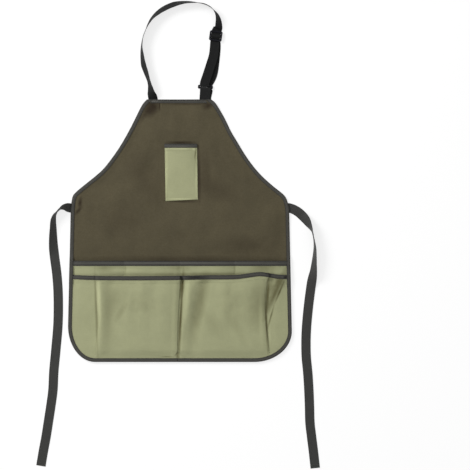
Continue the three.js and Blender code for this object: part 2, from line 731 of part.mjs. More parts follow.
// Line across the front pocket: left gusset and knife pleat, left panel, box pleat, right panel with
// its soft valley, right pleat and open gusset.
function frontLine({ y, taped, flat }) {
  const half = taped ? TAPED_HALF : CLOTH / 2;
  const edge = FRONT_EDGE_Z + half;
  const share = clamp((FRONT_POCKET_TOP - y) / (FRONT_POCKET_TOP - HEM_Y), 0, 1);
  const at = between(FRONT_FOLDS, "depth", share);
  const columns = ["left", "boxLeft", "boxRight", "valley", "right", "crease"];
  const [left, cl, cr, valley, right, crease] = columns.map((column) => (at[column] * HEM_WIDTH) / 2);
  const aboveRear = CLOTH / 2 + CLEARANCE + half + POCKET_EASE;
  const sewn = CLOTH + CLEARANCE + CLOTH / 2;
  const low = flat ? edge : Math.max(edge, sewn + REAR_SWELL * rearFade(y) + aboveRear);
  const pitch = flat ? 0 : 2 * half + CLEARANCE + 0.1;
  const middle = low + pitch;
  const high = middle + pitch;
  const under = PLEAT_DEPTH * (1 - 0.7 * share);
  const full = flat ? 0 : taped ? MOUTH_SWELL : FRONT_SWELL * Math.sin(Math.PI * Math.sqrt(share)) ** 0.7;
  const panel = (from, to, table) => table.map(([t, rise]) => [lerp(from, to, t), high + full * rise]);
  const pleat = (x, side, corners) => (flat ? spread(x, side, low) : corners);
  const sideLeft = sideX(y, -1);
  const sideRight = sideX(y, 1);
  const creaseZ = flat ? edge : Math.max(edge, rearZ(crease, y, false) + aboveRear);
  const creaseX = Math.min(Math.max(crease, right + CREASE_ROOM), sideRight - EDGE_FLAT - SIDE_ROOM);
  const outX = lerp(creaseX, sideRight - EDGE_FLAT - 1, 0.5);
  return [
    [sideLeft + POCKET_TUCK, edge],
    [sideLeft + EDGE_FLAT + 1, edge],
    [sideLeft + EDGE_FLAT + SIDE_BLEND, lerp(edge, low, 0.85)],
    [left - PLEAT_ROOM, low],
    ...pleat(left, -1, [...turn(left + under, 1, low, middle), ...turn(left, -1, middle, high)]),
    ...panel(left, cl, LEFT_RUN),
    ...pleat(cl, -1, [...turn(cl, 1, high, middle), ...turn(cl - under, -1, middle, low)]),
    [(cl + cr) / 2, low],
    ...pleat(cr, 1, [...turn(cr + under, 1, low, middle), ...turn(cr, -1, middle, high)]),
    ...panel(cr, valley, CENTRE_RUN),
    [valley, high + full * VALLEY_RISE],
    ...panel(valley, right, RIGHT_RUN),
    ...pleat(right, 1, [...turn(right, 1, high, middle), ...turn(right - under, -1, middle, low)]),
    [right + PLEAT_SPREAD + 2, low],
    [lerp(right + PLEAT_SPREAD + 2, creaseX, 0.5), lerp(low, creaseZ, 0.3)],
    [creaseX, creaseZ],
    [outX, flat ? edge : Math.max(edge, rearZ(outX, y, false) + aboveRear)],
    [sideRight - EDGE_FLAT - 1, edge],
    [sideRight - POCKET_TUCK, edge],
  ];
}

function frontPocketRows() {
  const tapeEnd = FRONT_TAPE_WIDTH + MOUTH_MARGIN;
  const mouth = [EDGE_INSET, tapeEnd].map((down) => {
    const line = frontLine({ y: FRONT_POCKET_TOP, taped: true, flat: false });
    return line.map(([x, z]) => new THREE.Vector3(x, frontMouthY(x) - down, z));
  });
  const start = FRONT_POCKET_TOP - tapeEnd - 6;
  const straight = [0, 0.18, 0.45, 0.75, 1].map((share) => {
    const y = lerp(start, BEND_Y, share);
    const line = frontLine({ y, taped: false, flat: false });
    const follow = 1 - smoothstep(share, 0, 1);
    return line.map(([x, z]) => new THREE.Vector3(x, y + (frontMouthY(x) - FRONT_POCKET_TOP) * follow, z));
  });
  const low = [0.3, 0.55, 0.8, 0.88, 1].map((share) => {
    const line = frontLine({ y: lerp(BEND_Y, HEM_Y, share), taped: false, flat: share > 0.85 });
    return line.map(([x, z]) => new THREE.Vector3(x, belowBend(x, share), z));
  });
  return [...mouth, ...straight, ...low];
}

// Breast pocket, sewn flat to the bib at its sides and foot and standing open at its mouth.
const BREAST_LEAN = 2.4;
function breastPocketRows() {
  const shares = [0, 0.05, 0.15, 0.3, 0.5, 0.7, 0.85, 0.95, 1];
  const line = (down, taped) => {
    const half = taped ? TAPED_HALF : CLOTH / 2;
    const share = clamp((down - BREAST_TAPE_WIDTH) / (BREAST_POCKET_HEIGHT * 0.8), 0, 1);
    const fade = 1 - smoothstep(share, 0, 1);
    const lean = BREAST_LEAN * (down / BREAST_POCKET_HEIGHT - 0.5);
    return shares.map((t) => {
      const x = BREAST_POCKET_X + lean + BREAST_POCKET_WIDTH * (t - 0.5);
      const swell = BREAST_SWELL * fade * (1 - Math.abs(2 * t - 1) ** 3);
      return new THREE.Vector3(x, BREAST_POCKET_TOP - down, CLOTH + CLEARANCE + half + swell);
    });
  };
  const tapeEnd = BREAST_TAPE_WIDTH + MOUTH_MARGIN;
  const lower = [0.18, 0.3, 0.45, 0.65, 0.85, 1].map((share) => line(BREAST_POCKET_HEIGHT * share, false));
  return [line(EDGE_INSET, true), line(tapeEnd, true), line(tapeEnd + 4, false), ...lower];
}

// Height of a ribbon's middle where it lies on the surface, turned about its run by roll degrees.
function restingZ(roll, width, thickness) {
  const angle = degToRad(roll);
  return (Math.sin(angle) * width + Math.cos(angle) * thickness) / 2;
}

// Flat webbing or tape along a route of { x, y, roll }; its width never flips over on the way.
// A stop without a z lies on the surface, and one with a heading keeps its width square to it.
const RIBBON_STEP = 13;
function ribbon(name, route, width, thickness, material) {
  const rest = (roll) => restingZ(Math.abs(roll), width, thickness);
  const points = route.map(({ x, y, z, roll }) => new THREE.Vector3(x, y, z ?? rest(roll)));
  const curve = new THREE.CatmullRomCurve3(points, false, "centripetal");
  const stations = [];
  points.slice(1).forEach((p, k) => {
    const steps = clamp(Math.round(p.distanceTo(points[k]) / RIBBON_STEP), 1, 5);
    for (let i = 0; i < steps; i++) stations.push(k + i / steps);
  });
  stations.push(points.length - 1);
  let across = new THREE.Vector3();
  const sections = stations.map((station) => {
    const share = station / (points.length - 1);
    const k = Math.min(Math.floor(station), points.length - 2);
    const [from, to] = [route[k], route[k + 1]];
    const turned = lerp(from.roll, to.roll, station - k);
    const resting = rest(turned);
    const roll = degToRad(turned);
    const centre = curve.getPoint(share);
    const along = curve.getTangent(share);
    const held = from.heading !== undefined && to.heading !== undefined;
    const lies = from.z === undefined || to.z === undefined;
    if (lies) centre.z = lerp(from.z ?? resting, to.z ?? resting, station - k);
    const turning = held ? degToRad(lerp(from.heading, to.heading, station - k)) : 0;
    const heading = held ? turning : Math.atan2(along.x, along.y);
    const level = new THREE.Vector3(Math.cos(heading), -Math.sin(heading), 0);
    if (level.dot(across) < 0) level.negate();
    across = level;
    const wide = across.clone().multiplyScalar(Math.cos(roll));
    wide.z = Math.sin(roll);
    if (!held) wide.addScaledVector(along, -wide.dot(along)).normalize();
    const thick = along.clone().cross(wide).normalize();
    const corner = (w, t) => {
      return centre.clone().addScaledVector(wide, w * width).addScaledVector(thick, t * thickness);
    };
    return { outer: [corner(-0.5, 0.5), corner(0.5, 0.5)], inner: [corner(-0.5, -0.5), corner(0.5, -0.5)] };
  });
  return loft(name, sections, material);
}

function waistTie(name, table, side, drop, spreadOut) {
  const edge = sideX(TIE_Y, side);
  const route = [
    { x: edge - side * SEWN_OVERLAP, y: TIE_Y, roll: 0 },
    { x: edge, y: TIE_Y, roll: 0 },
    ...table.map(({ across, down, roll }) => ({
      x: sideX(TIE_Y - down * drop, side) + side * across * spreadOut,
      y: TIE_Y - down * drop,
      roll: -side * roll,
    })),
  ];
  return ribbon(name, route, TIE_WIDTH, TIE, clothMaterial(TIE_GREY, 0.8));
}

// Places in the strap's hardware, turned by a tilt from straight up.
function tilted(centre, tilt, along, across = 0) {
  const angle = degToRad(tilt);
  return {
    x: centre.x + Math.sin(angle) * along + Math.cos(angle) * across,
    y: centre.y + Math.cos(angle) * along - Math.sin(angle) * across,
  };
}

function neckPlace({ across, up }) {
  return { x: BIB_LEFT + across * BIB_TOP_WIDTH, y: BIB_HEIGHT + up * NECK_RISE };
}

const ringCentre = { x: TAB_X + RING_RISE * Math.tan(degToRad(RING_TILT)), y: BIB_HEIGHT + RING_RISE };
const sliderCentre = neckPlace(SLIDER_PLACE);
const BAR_TURN = RING_BAR / 2 + CLEARANCE * 2 + WEBBING / 2;
const RING_Z = WEBBING / 2 + BAR_TURN;
const BAR_OFFSET = (RING_SLOT + RING_BAR) / 2;
const SLIDER_WEAVE = SLIDER_THICKNESS / 2 + CLEARANCE * 2 + WEBBING / 2;
const SLIDER_Z = 2 * WEBBING + CLEARANCE * 2 + SLIDER_WEAVE;

// Stops of a half turn of webbing round a ring bar, from its front to its back.
// way is -1 round the upper bar and 1 round the lower one, drift moves it across on the way.
function barTurn(way, fromAcross, toAcross) {
  const stops = [];
  for (let step = 0; step <= 6; step++) {
    const angle = (step * Math.PI) / 6;
    const along = -way * BAR_OFFSET + way * BAR_TURN * Math.sin(angle);
    const place = tilted(ringCentre, RING_TILT, along, lerp(fromAcross, toAcross, step / 6));
    stops.push({ ...place, z: RING_Z + BAR_TURN * Math.cos(angle), roll: 0, heading: RING_TILT });
  }
  return stops;
}

function neckStrap() {
  const weave = (along, height) => ({
    ...tilted(sliderCentre, SLIDER_TILT, along),
    z: SLIDER_Z + height * SLIDER_WEAVE,
    roll: 0,
    heading: SLIDER_TILT,
  });
  const slotMiddle = SLIDER_HEIGHT / 2 - SLIDER_BAR - (SLIDER_HEIGHT - 3 * SLIDER_BAR) / 4;
  const barEdge = SLIDER_HEIGHT / 2 - SLIDER_BAR;
  const lowered = WEBBING / 2;
  const route = [
    { x: STRAP_END_X, y: BIB_HEIGHT - SEWN_OVERLAP, roll: 0 },
    { x: STRAP_END_X, y: BIB_HEIGHT - SEWN_OVERLAP / 2, roll: 0 },
    { x: STRAP_END_X, y: BIB_HEIGHT + STRAP_LEAD, roll: 0 },
    ...NECK_ROUTE.map((stop) => ({ ...neckPlace(stop), roll: stop.roll })),
    weave(SLIDER_HEIGHT / 2 + STRAP_LEAD, -1),
    weave(barEdge + BAR_ROOM, -1),
    weave(slotMiddle, 0),
    weave(SLIDER_BAR / 4, 1),
    weave(-SLIDER_BAR / 4, 1),
    weave(-slotMiddle, 0),
    weave(-barEdge - BAR_ROOM, -1),
    weave(-SLIDER_HEIGHT / 2 - STRAP_LEAD, -1),
    ...FRONT_LAYER.map((stop, i) => ({
      ...neckPlace(stop),
      z: lerp(SLIDER_Z - SLIDER_WEAVE, RING_Z + BAR_TURN, (i + 1) / (FRONT_LAYER.length + 1)),
      roll: 0,
    })),
    { ...tilted(ringCentre, RING_TILT, BAR_OFFSET + RING_BAR, -RING_DRIFT), z: RING_Z + BAR_TURN, roll: 0 },
    ...barTurn(-1, -RING_DRIFT, RING_DRIFT),
    { ...tilted(ringCentre, RING_TILT, BAR_OFFSET + RING_BAR, RING_DRIFT), z: lowered, roll: 0 },
    ...BACK_LAYER.map((stop) => ({ ...neckPlace(stop), z: lowered, roll: 0 })),
    { ...tilted(sliderCentre, SLIDER_TILT, -barEdge), z: lowered, roll: 0 },
    { ...tilted(sliderCentre, SLIDER_TILT, 0), z: lowered, roll: 0 },
  ];
  return ribbon("neck_strap", route, WEBBING_WIDTH, WEBBING, clothMaterial(WEBBING_BLACK, 0.75));
}

// Webbing tab folded round the ring's lower bar, both layers sewn behind the bib's right corner.
function ringTab() {
  const lower = WEBBING / 2;
  const upper = lower + WEBBING + CLEARANCE;
  const lead = -BAR_OFFSET - RING_BAR;
  const route = [
    { x: TAB_X, y: BIB_HEIGHT - SEWN_OVERLAP, z: upper, roll: 0 },
    { x: TAB_X, y: BIB_HEIGHT - SEWN_OVERLAP / 2, z: upper, roll: 0 },
    { x: TAB_X, y: BIB_HEIGHT + TAB_LEAD, z: upper, roll: 0 },
    { ...tilted(ringCentre, RING_TILT, lead - TAB_SETTLE), z: lerp(upper, RING_Z + BAR_TURN, 0.6), roll: 0 },
    { ...tilted(ringCentre, RING_TILT, lead), z: RING_Z + BAR_TURN, roll: 0 },
    ...barTurn(1, 0, 0),
    { ...tilted(ringCentre, RING_TILT, lead), z: lower, roll: 0 },
    { x: TAB_X, y: BIB_HEIGHT + TAB_LEAD, z: lower, roll: 0 },
    { x: TAB_X, y: BIB_HEIGHT - SEWN_OVERLAP / 2, z: lower, roll: 0 },
    { x: TAB_X, y: BIB_HEIGHT - SEWN_OVERLAP, z: lower, roll: 0 },
  ];
  return ribbon("ring_tab", route, TAB_WIDTH, WEBBING, clothMaterial(WEBBING_BLACK, 0.75));
}

function roundedRect(shape, width, height, radius, y = 0) {
  const x = width / 2;
  const top = y + height / 2;
  const foot = y - height / 2;
  shape.moveTo(-x + radius, foot);
  shape.lineTo(x - radius, foot);
  shape.absarc(x - radius, foot + radius, radius, -Math.PI / 2, 0, false);
  shape.lineTo(x, top - radius);
  shape.absarc(x - radius, top - radius, radius, 0, Math.PI / 2, false);
  shape.lineTo(-x + radius, top);
  shape.absarc(-x + radius, top - radius, radius, Math.PI / 2, Math.PI, false);
  shape.lineTo(-x, foot + radius);
  shape.absarc(-x + radius, foot + radius, radius, Math.PI, Math.PI * 1.5, false);
  return shape;
}

// A plastic frame with slots, rounded at its edges, lying level and turned by its tilt.
const PLASTIC_ROUND = 0.7;
function plasticFrame(name, outline, slots, thickness, centre, z, tilt) {
  const depth = thickness - 2 * PLASTIC_ROUND;
  outline.holes = slots;
  const geometry = new THREE.ExtrudeGeometry(outline, {
    depth,
    curveSegments: 3,
    bevelThickness: PLASTIC_ROUND,
    bevelSize: PLASTIC_ROUND,
    bevelOffset: -PLASTIC_ROUND,
    bevelSegments: 1,
  });
  const material = new THREE.MeshStandardMaterial({ color: PLASTIC_BLACK, roughness: 0.35, metalness: 0 });
  const mesh = new THREE.Mesh(geometry, material);
  mesh.name = name;
  mesh.position.set(centre.x, centre.y, z - depth / 2);
  mesh.rotation.z = -degToRad(tilt);
  return mesh;
}

function strapSlider() {
  const slotHeight = (SLIDER_HEIGHT - 3 * SLIDER_BAR) / 2;
  const slotY = (SLIDER_BAR + slotHeight) / 2;
  const slotWidth = WEBBING_WIDTH + 1;
  const slots = [slotY, -slotY].map((y) => roundedRect(new THREE.Path(), slotWidth, slotHeight, 1, y));
  const outline = roundedRect(new THREE.Shape(), SLIDER_WIDTH, SLIDER_HEIGHT, 4);
  return plasticFrame("strap_slider", outline, slots, SLIDER_THICKNESS, sliderCentre, SLIDER_Z, SLIDER_TILT);
}

function strapRing() {
  const height = RING_SLOT + 2 * RING_BAR;
  const outline = roundedRect(new THREE.Shape(), RING_WIDTH, height, 3);
  const slot = roundedRect(new THREE.Path(), RING_SLOT_WIDTH, RING_SLOT, 1);
  return plasticFrame("strap_ring", outline, [slot], RING_BAR, ringCentre, RING_Z, RING_TILT);
}

const rearRows = rearPocketRows();
const frontRows = frontPocketRows();
const breastRows = breastPocketRows();
const apron = new THREE.Group();
apron.add(
  bodyPanel(),
  topBinding(),
  sideBinding(),
  cloth("rear_pocket", rearRows, SAGE),
  mouthTape("rear_pocket_binding", rearRows[0], REAR_TAPE_WIDTH),
  cloth("front_pocket", frontRows, SAGE),
  mouthTape("front_pocket_binding", frontRows[0], FRONT_TAPE_WIDTH),
  cloth("breast_pocket", breastRows, SAGE),
  mouthTape("breast_pocket_binding", breastRows[0], BREAST_TAPE_WIDTH),
  neckStrap(),
  strapSlider(),
  strapRing(),
  ringTab(),
  waistTie("waist_tie_left", TIE_ROUTE_LEFT, -1, TIE_LEFT_DROP_LENGTH, TIE_LEFT_SPREAD_WIDTH),
  waistTie("waist_tie_right", TIE_ROUTE_RIGHT, 1, TIE_RIGHT_DROP_LENGTH, TIE_RIGHT_SPREAD_WIDTH),
);

export default apron;
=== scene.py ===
import math

import bpy
import numpy as np
from bpy.props import FloatProperty, FloatVectorProperty, PointerProperty
from mathutils import Matrix, Vector, noise


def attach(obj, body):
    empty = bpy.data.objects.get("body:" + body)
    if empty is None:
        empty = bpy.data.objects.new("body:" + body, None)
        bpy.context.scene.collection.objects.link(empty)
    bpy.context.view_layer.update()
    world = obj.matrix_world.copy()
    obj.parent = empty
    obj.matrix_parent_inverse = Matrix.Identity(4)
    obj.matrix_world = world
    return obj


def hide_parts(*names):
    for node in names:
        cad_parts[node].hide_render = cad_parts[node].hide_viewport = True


bl_info = {
    "name": "Gardening apron",
    "version": (1, 0, 0),
    "blender": (4, 5, 0),
    "location": "3D view > Sidebar > Apron",
    "description": "Bib apron with layered pockets, neck strap and waist ties, laid flat",
    "category": "Mesh",
}

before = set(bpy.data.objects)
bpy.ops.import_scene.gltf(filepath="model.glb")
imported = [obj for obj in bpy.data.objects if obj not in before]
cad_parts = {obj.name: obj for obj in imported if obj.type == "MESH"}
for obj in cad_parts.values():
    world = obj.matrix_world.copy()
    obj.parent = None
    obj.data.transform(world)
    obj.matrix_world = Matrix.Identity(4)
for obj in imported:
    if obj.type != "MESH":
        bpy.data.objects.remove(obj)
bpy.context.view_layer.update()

# Bend in degrees over which cloth shows as a crease, and height of the middle of the shaded places
CLOTH_CREASE = 55
PATCH_HEIGHT = 0.004

# The apron lies on its back in the CAD frame, in metres: X across, Y from hem to neck, Z up.
# Armhole edges as (share of the bib height down, share of the armhole's width across)
ARMHOLE_LEFT = (
    (0, 0), (0.054, 0.062), (0.163, 0.135), (0.235, 0.181), (0.308, 0.229), (0.454, 0.336), (0.578, 0.443),
    (0.698, 0.564), (0.775, 0.671), (0.859, 0.806), (0.947, 0.94), (1.0, 0.98), (1.118, 1.0),
)
ARMHOLE_RIGHT = (
    (0, 0), (0.044, 0.06), (0.163, 0.152), (0.242, 0.203), (0.329, 0.256), (0.432, 0.334), (0.568, 0.439),
    (0.682, 0.543), (0.775, 0.647), (0.869, 0.777), (0.952, 0.908), (0.993, 0.954), (1.045, 0.981),
    (1.118, 1.0),
)
HEM_CORNER = {-1: (0.072, 0.096), 1: (0.100, 0.082)}

# Front pocket folds: depth share, then left pleat, centre pleat left and right, valley, right pleat and
# crease as shares of half the hem width
FRONT_FOLDS = np.array([
    (0.00, -0.752, 0.004, 0.036, 0.232, 0.790, 0.940),
    (0.16, -0.746, -0.003, 0.028, 0.200, 0.769, 0.890),
    (0.34, -0.740, -0.014, 0.018, 0.168, 0.764, 0.842),
    (0.55, -0.730, -0.021, 0.006, 0.138, 0.764, 0.810),
    (0.78, -0.745, -0.025, -0.004, 0.118, 0.785, 0.810),
    (1.00, -0.752, -0.022, -0.008, 0.107, 0.795, 0.820),
])
# Line of the front mouth as (share of half the hem width, rise as a share of the tape's width)
FRONT_MOUTH = np.array([
    (-1, 0.18), (-0.75, -0.08), (-0.4, -0.12), (0, -0.05), (0.25, 0.08), (0.5, 0.16), (0.68, 0.8),
    (0.75, 0.78), (0.88, 0.2), (1, 0.15),
])

# Height of the neck loop above the bib and middle of the slider, then routes as (across, along, roll in
# degrees), all as shares of the span that each part covers
NECK_RISE = 0.263
SLIDER_PLACE = (1.07, 0.641)
NECK_ROUTE = (
    (0.067, 0.077, 45), (0.047, 0.141, 66), (0.0275, 0.19, 71), (-0.02, 0.285, 60), (-0.052, 0.348, 57),
    (-0.074, 0.45, 69), (-0.081, 0.53, 81), (-0.06, 0.627, 87), (-0.016, 0.705, 86), (0.025, 0.762, 79),
    (0.082, 0.819, 71), (0.164, 0.87, 60), (0.262, 0.914, 53), (0.416, 0.958, 53), (0.59, 0.979, 70),
    (0.688, 0.98, 76), (0.785, 0.975, 84), (0.884, 0.964, 88), (0.974, 0.938, 88), (1.035, 0.903, 86),
    (1.081, 0.863, 74), (1.106, 0.817, 60), (1.114, 0.778, 50), (1.111, 0.722, 37),
)
FRONT_LAYER = ((1.037, 0.452), (0.995, 0.358), (0.941, 0.25))
BACK_LAYER = ((1.014, 0.238), (1.056, 0.4), (1.073, 0.554))
TIE_ROUTE_LEFT = (
    (0.115, -0.004, 38), (0.21, -0.003, 60), (0.312, 0.004, 84), (0.4, 0.016, 87), (0.465, 0.028, 75),
    (0.502, 0.047, 60), (0.507, 0.079, 49), (0.51, 0.111, 37), (0.504, 0.144, 24), (0.483, 0.179, 5),
    (0.405, 0.26, 0), (0.369, 0.33, 0), (0.372, 0.446, 0), (0.437, 0.551, 0), (0.497, 0.636, 0),
    (0.523, 0.706, 0), (0.585, 0.768, 0), (0.653, 0.826, 0), (0.727, 0.888, 0), (0.804, 0.942, 0),
    (0.878, 1, 0),
)
TIE_ROUTE_RIGHT = (
    (0.272, 0.012, 2), (0.469, 0.029, 6), (0.627, 0.048, 30), (0.747, 0.069, 60), (0.839, 0.09, 85),
    (0.88, 0.109, 88), (0.912, 0.127, 86), (0.939, 0.154, 77), (0.929, 0.185, 68), (0.909, 0.215, 58),
    (0.884, 0.247, 42), (0.83, 0.281, 12), (0.787, 0.311, 0), (0.702, 0.381, 0), (0.632, 0.461, 0),
    (0.613, 0.519, 0), (0.624, 0.573, 0), (0.68, 0.634, 0), (0.72, 0.7, 0), (0.743, 0.761, 0),
    (0.761, 0.826, 0), (0.816, 0.876, 0), (0.89, 0.938, 0), (0.957, 1, 0),
)


def length(label, words, value):
    return FloatProperty(name=label, description=words, default=value, subtype="DISTANCE", unit="LENGTH",
                         precision=4)


def tint(label, words, value):
    linear = tuple(((v / 255 + 0.055) / 1.055) ** 2.4 for v in value)
    return FloatVectorProperty(name=label, description=words, default=linear, size=3, subtype="COLOR", min=0,
                               max=1)


class ApronSizes(bpy.types.PropertyGroup):
    bib_height: length("Bib height", "From the waist line to the bib's top edge", 0.262)
    bib_width: length("Bib width", "Width of the bib's top edge", 0.171)
    bib_shift: length("Bib shift", "How far the bib's middle lies to the right", -0.0022)
    waist_width: length("Waist width", "Width at the waist line", 0.581)
    hem_width: length("Hem width", "Width at the hem", 0.595)
    skirt_height: length("Skirt height", "From the waist line to the hem", 0.436)
    cloth: length("Cloth thickness", "Thickness of the canvas and the pocket cloth", 0.001)
    tape: length("Tape thickness", "Thickness of the folded edge tape", 0.0008)
    gap: length("Gap", "Room between two layers", 0.0003)
    edge_tape: length("Edge tape width", "Width of the tape round the apron", 0.010)
    webbing_width: length("Webbing width", "Width of the neck strap and of the ties", 0.025)
    tab_width: length("Tab width", "Width of the webbing tab that holds the ring", 0.028)
    webbing: length("Webbing thickness", "Thickness of the neck strap", 0.0013)
    tie: length("Tie thickness", "Thickness of the waist ties", 0.0012)
    sewn: length("Sewn overlap", "Length of a strap end sewn behind the panel", 0.025)
    rear_top: length("Rear pocket mouth", "Height of the rear pocket's mouth over the waist line", -0.167)
    rear_tape: length("Rear tape width", "Width of the tape on the rear mouth", 0.0135)
    front_top: length("Front pocket mouth", "Height of the front pocket's mouth over the waist line", -0.206)
    front_tape: length("Front tape width", "Width of the tape on the front mouth", 0.011)
    breast_width: length("Breast pocket width", "Width of the breast pocket", 0.086)
    breast_height: length("Breast pocket height", "Height of the breast pocket", 0.150)
    breast_top: length("Breast pocket top", "Height of its mouth over the waist line", 0.144)
    breast_tape: length("Breast tape width", "Width of the tape on the breast mouth", 0.0105)
    stitch: length("Stitch pitch", "From one stitch to the next", 0.0034)
    ripple: length("Ripple", "Height of the soft ripples in the canvas", 0.0022)


class ApronColours(bpy.types.PropertyGroup):
    canvas: tint("Canvas", "Brown canvas of the panel", (84, 77, 57))
    # Painted shade: the darker brown painted into the canvas's folds and corners
    canvas_painted_shade: tint("Canvas shade", "Painted shade of the canvas in its folds and corners", (44, 34, 20))
    sage: tint("Pocket cloth", "Sage cloth of the pockets", (165, 167, 130))
    # Painted shade in the pocket cloth's folds; also the dark of its grain
    sage_shade_and_grain: tint("Pocket shade", "Painted shade of the sage in its folds, also its dark grain", (92, 88, 54))
    edge: tint("Edge tape", "Grey tape round the edges", (55, 54, 50))
    # Painted highlight along the edge tape's raised middle; also the lighter picks of its weave
    edge_highlight_and_picks: tint("Edge tape ridge", "Painted highlight on the grey tape's raised middle, also its lighter picks", (78, 77, 72))
    thread: tint("Thread", "Sewing thread", (92, 91, 87))
    ties: tint("Ties", "Woven tape of the ties", (57, 57, 55))
    webbing: tint("Webbing", "Black webbing of the neck strap", (8, 9, 9))
    plastic: tint("Plastic", "Slider and ring", (16, 16, 24))
    floor: tint("Floor", "Pale floor", (238, 238, 238))


def sizes():
    return bpy.context.scene.apron_sizes


def colours():
    return bpy.context.scene.apron_colours


def mix(a, b, share):
    return a + (b - a) * share


def ease(value, start, end):
    share = np.clip((np.asarray(value, float) - start) / (end - start), 0, 1)
    return share * share * (3 - 2 * share)


def spline(points, steps, closed=False):
    """A smooth line through the points, with as many steps between two of them."""
    p = np.asarray(points, float)
    before = np.vstack([p[:1], p[:-1]])
    after = np.vstack([p[1:], p[-1:]])
    further = np.vstack([p[2:], p[-1:], p[-1:]])
    line = []
    for i in range(len(p) - 1):
        t = np.linspace(0, 1, steps, endpoint=False)[:, None]
        p0, p1, p2, p3 = before[i], p[i], after[i], further[i]
        line.append(0.5 * (2 * p1 + (p2 - p0) * t + (2 * p0 - 5 * p1 + 4 * p2 - p3) * t**2
                           + (3 * p1 - p0 - 3 * p2 + p3) * t**3))
    return np.vstack([*line, p[-1:]])


def run_length(line):
    """How far along the line each of its points lies."""
    return np.concatenate([[0], np.cumsum(np.linalg.norm(np.diff(line, axis=0), axis=1))])


def read_along(at, run, values):
    """Rows of values given along a run, read at other places of it."""
    return np.stack([np.interp(at, run, column) for column in values.T], axis=1)


def resample(line, pitch):
    """The line in steps of about one pitch."""
    line = np.asarray(line, float)
    run = run_length(line)
    at = np.linspace(0, run[-1], max(int(round(run[-1] / pitch)), 2) + 1)
    return read_along(at, run, line)


def normals_of(line):
    """Left-hand normals of a flat line, mitred at its corners."""
    step = np.diff(line, axis=0)
    side = np.stack([-step[:, 1], step[:, 0]], axis=1)
    side /= np.maximum(np.linalg.norm(side, axis=1), 1e-9)[:, None]
    before = np.vstack([side[:1], side])
    after = np.vstack([side, side[-1:]])
    return (before + after) / np.maximum(1 + np.sum(before * after, axis=1), 0.1)[:, None]


def new_piece(name, points, faces, uvs, marks, materials):
    """A smooth piece whose uv map runs along the cloth, each face marked with its material."""
    mesh = bpy.data.meshes.new(name)
    mesh.from_pydata(np.asarray(points, float).tolist(), [], [tuple(f) for f in faces])
    mesh.update()
    run = mesh.uv_layers.new(name="run")
    corner = np.empty(len(mesh.loops), np.int32)
    mesh.loops.foreach_get("vertex_index", corner)
    run.data.foreach_set("uv", np.asarray(uvs, np.float32)[corner].ravel())
    for material in materials:
        mesh.materials.append(material)
    mesh.polygons.foreach_set("material_index", np.asarray(marks, np.int32))
    mesh.shade_smooth()
    mesh.set_sharp_from_angle(angle=math.radians(CLOTH_CREASE))
    piece = bpy.data.objects.new(name, mesh)
    bpy.context.scene.collection.objects.link(piece)
    return piece


# A stitch as places along it, height of its middle and thickness: shares of its length and radius
STITCH_ARCH = ((0, -0.5, 0.25), (0.12, 0.45, 0.85), (0.5, 0.9, 1), (0.88, 0.45, 0.85), (1, -0.5, 0.25))
STITCH_SIDES = 5


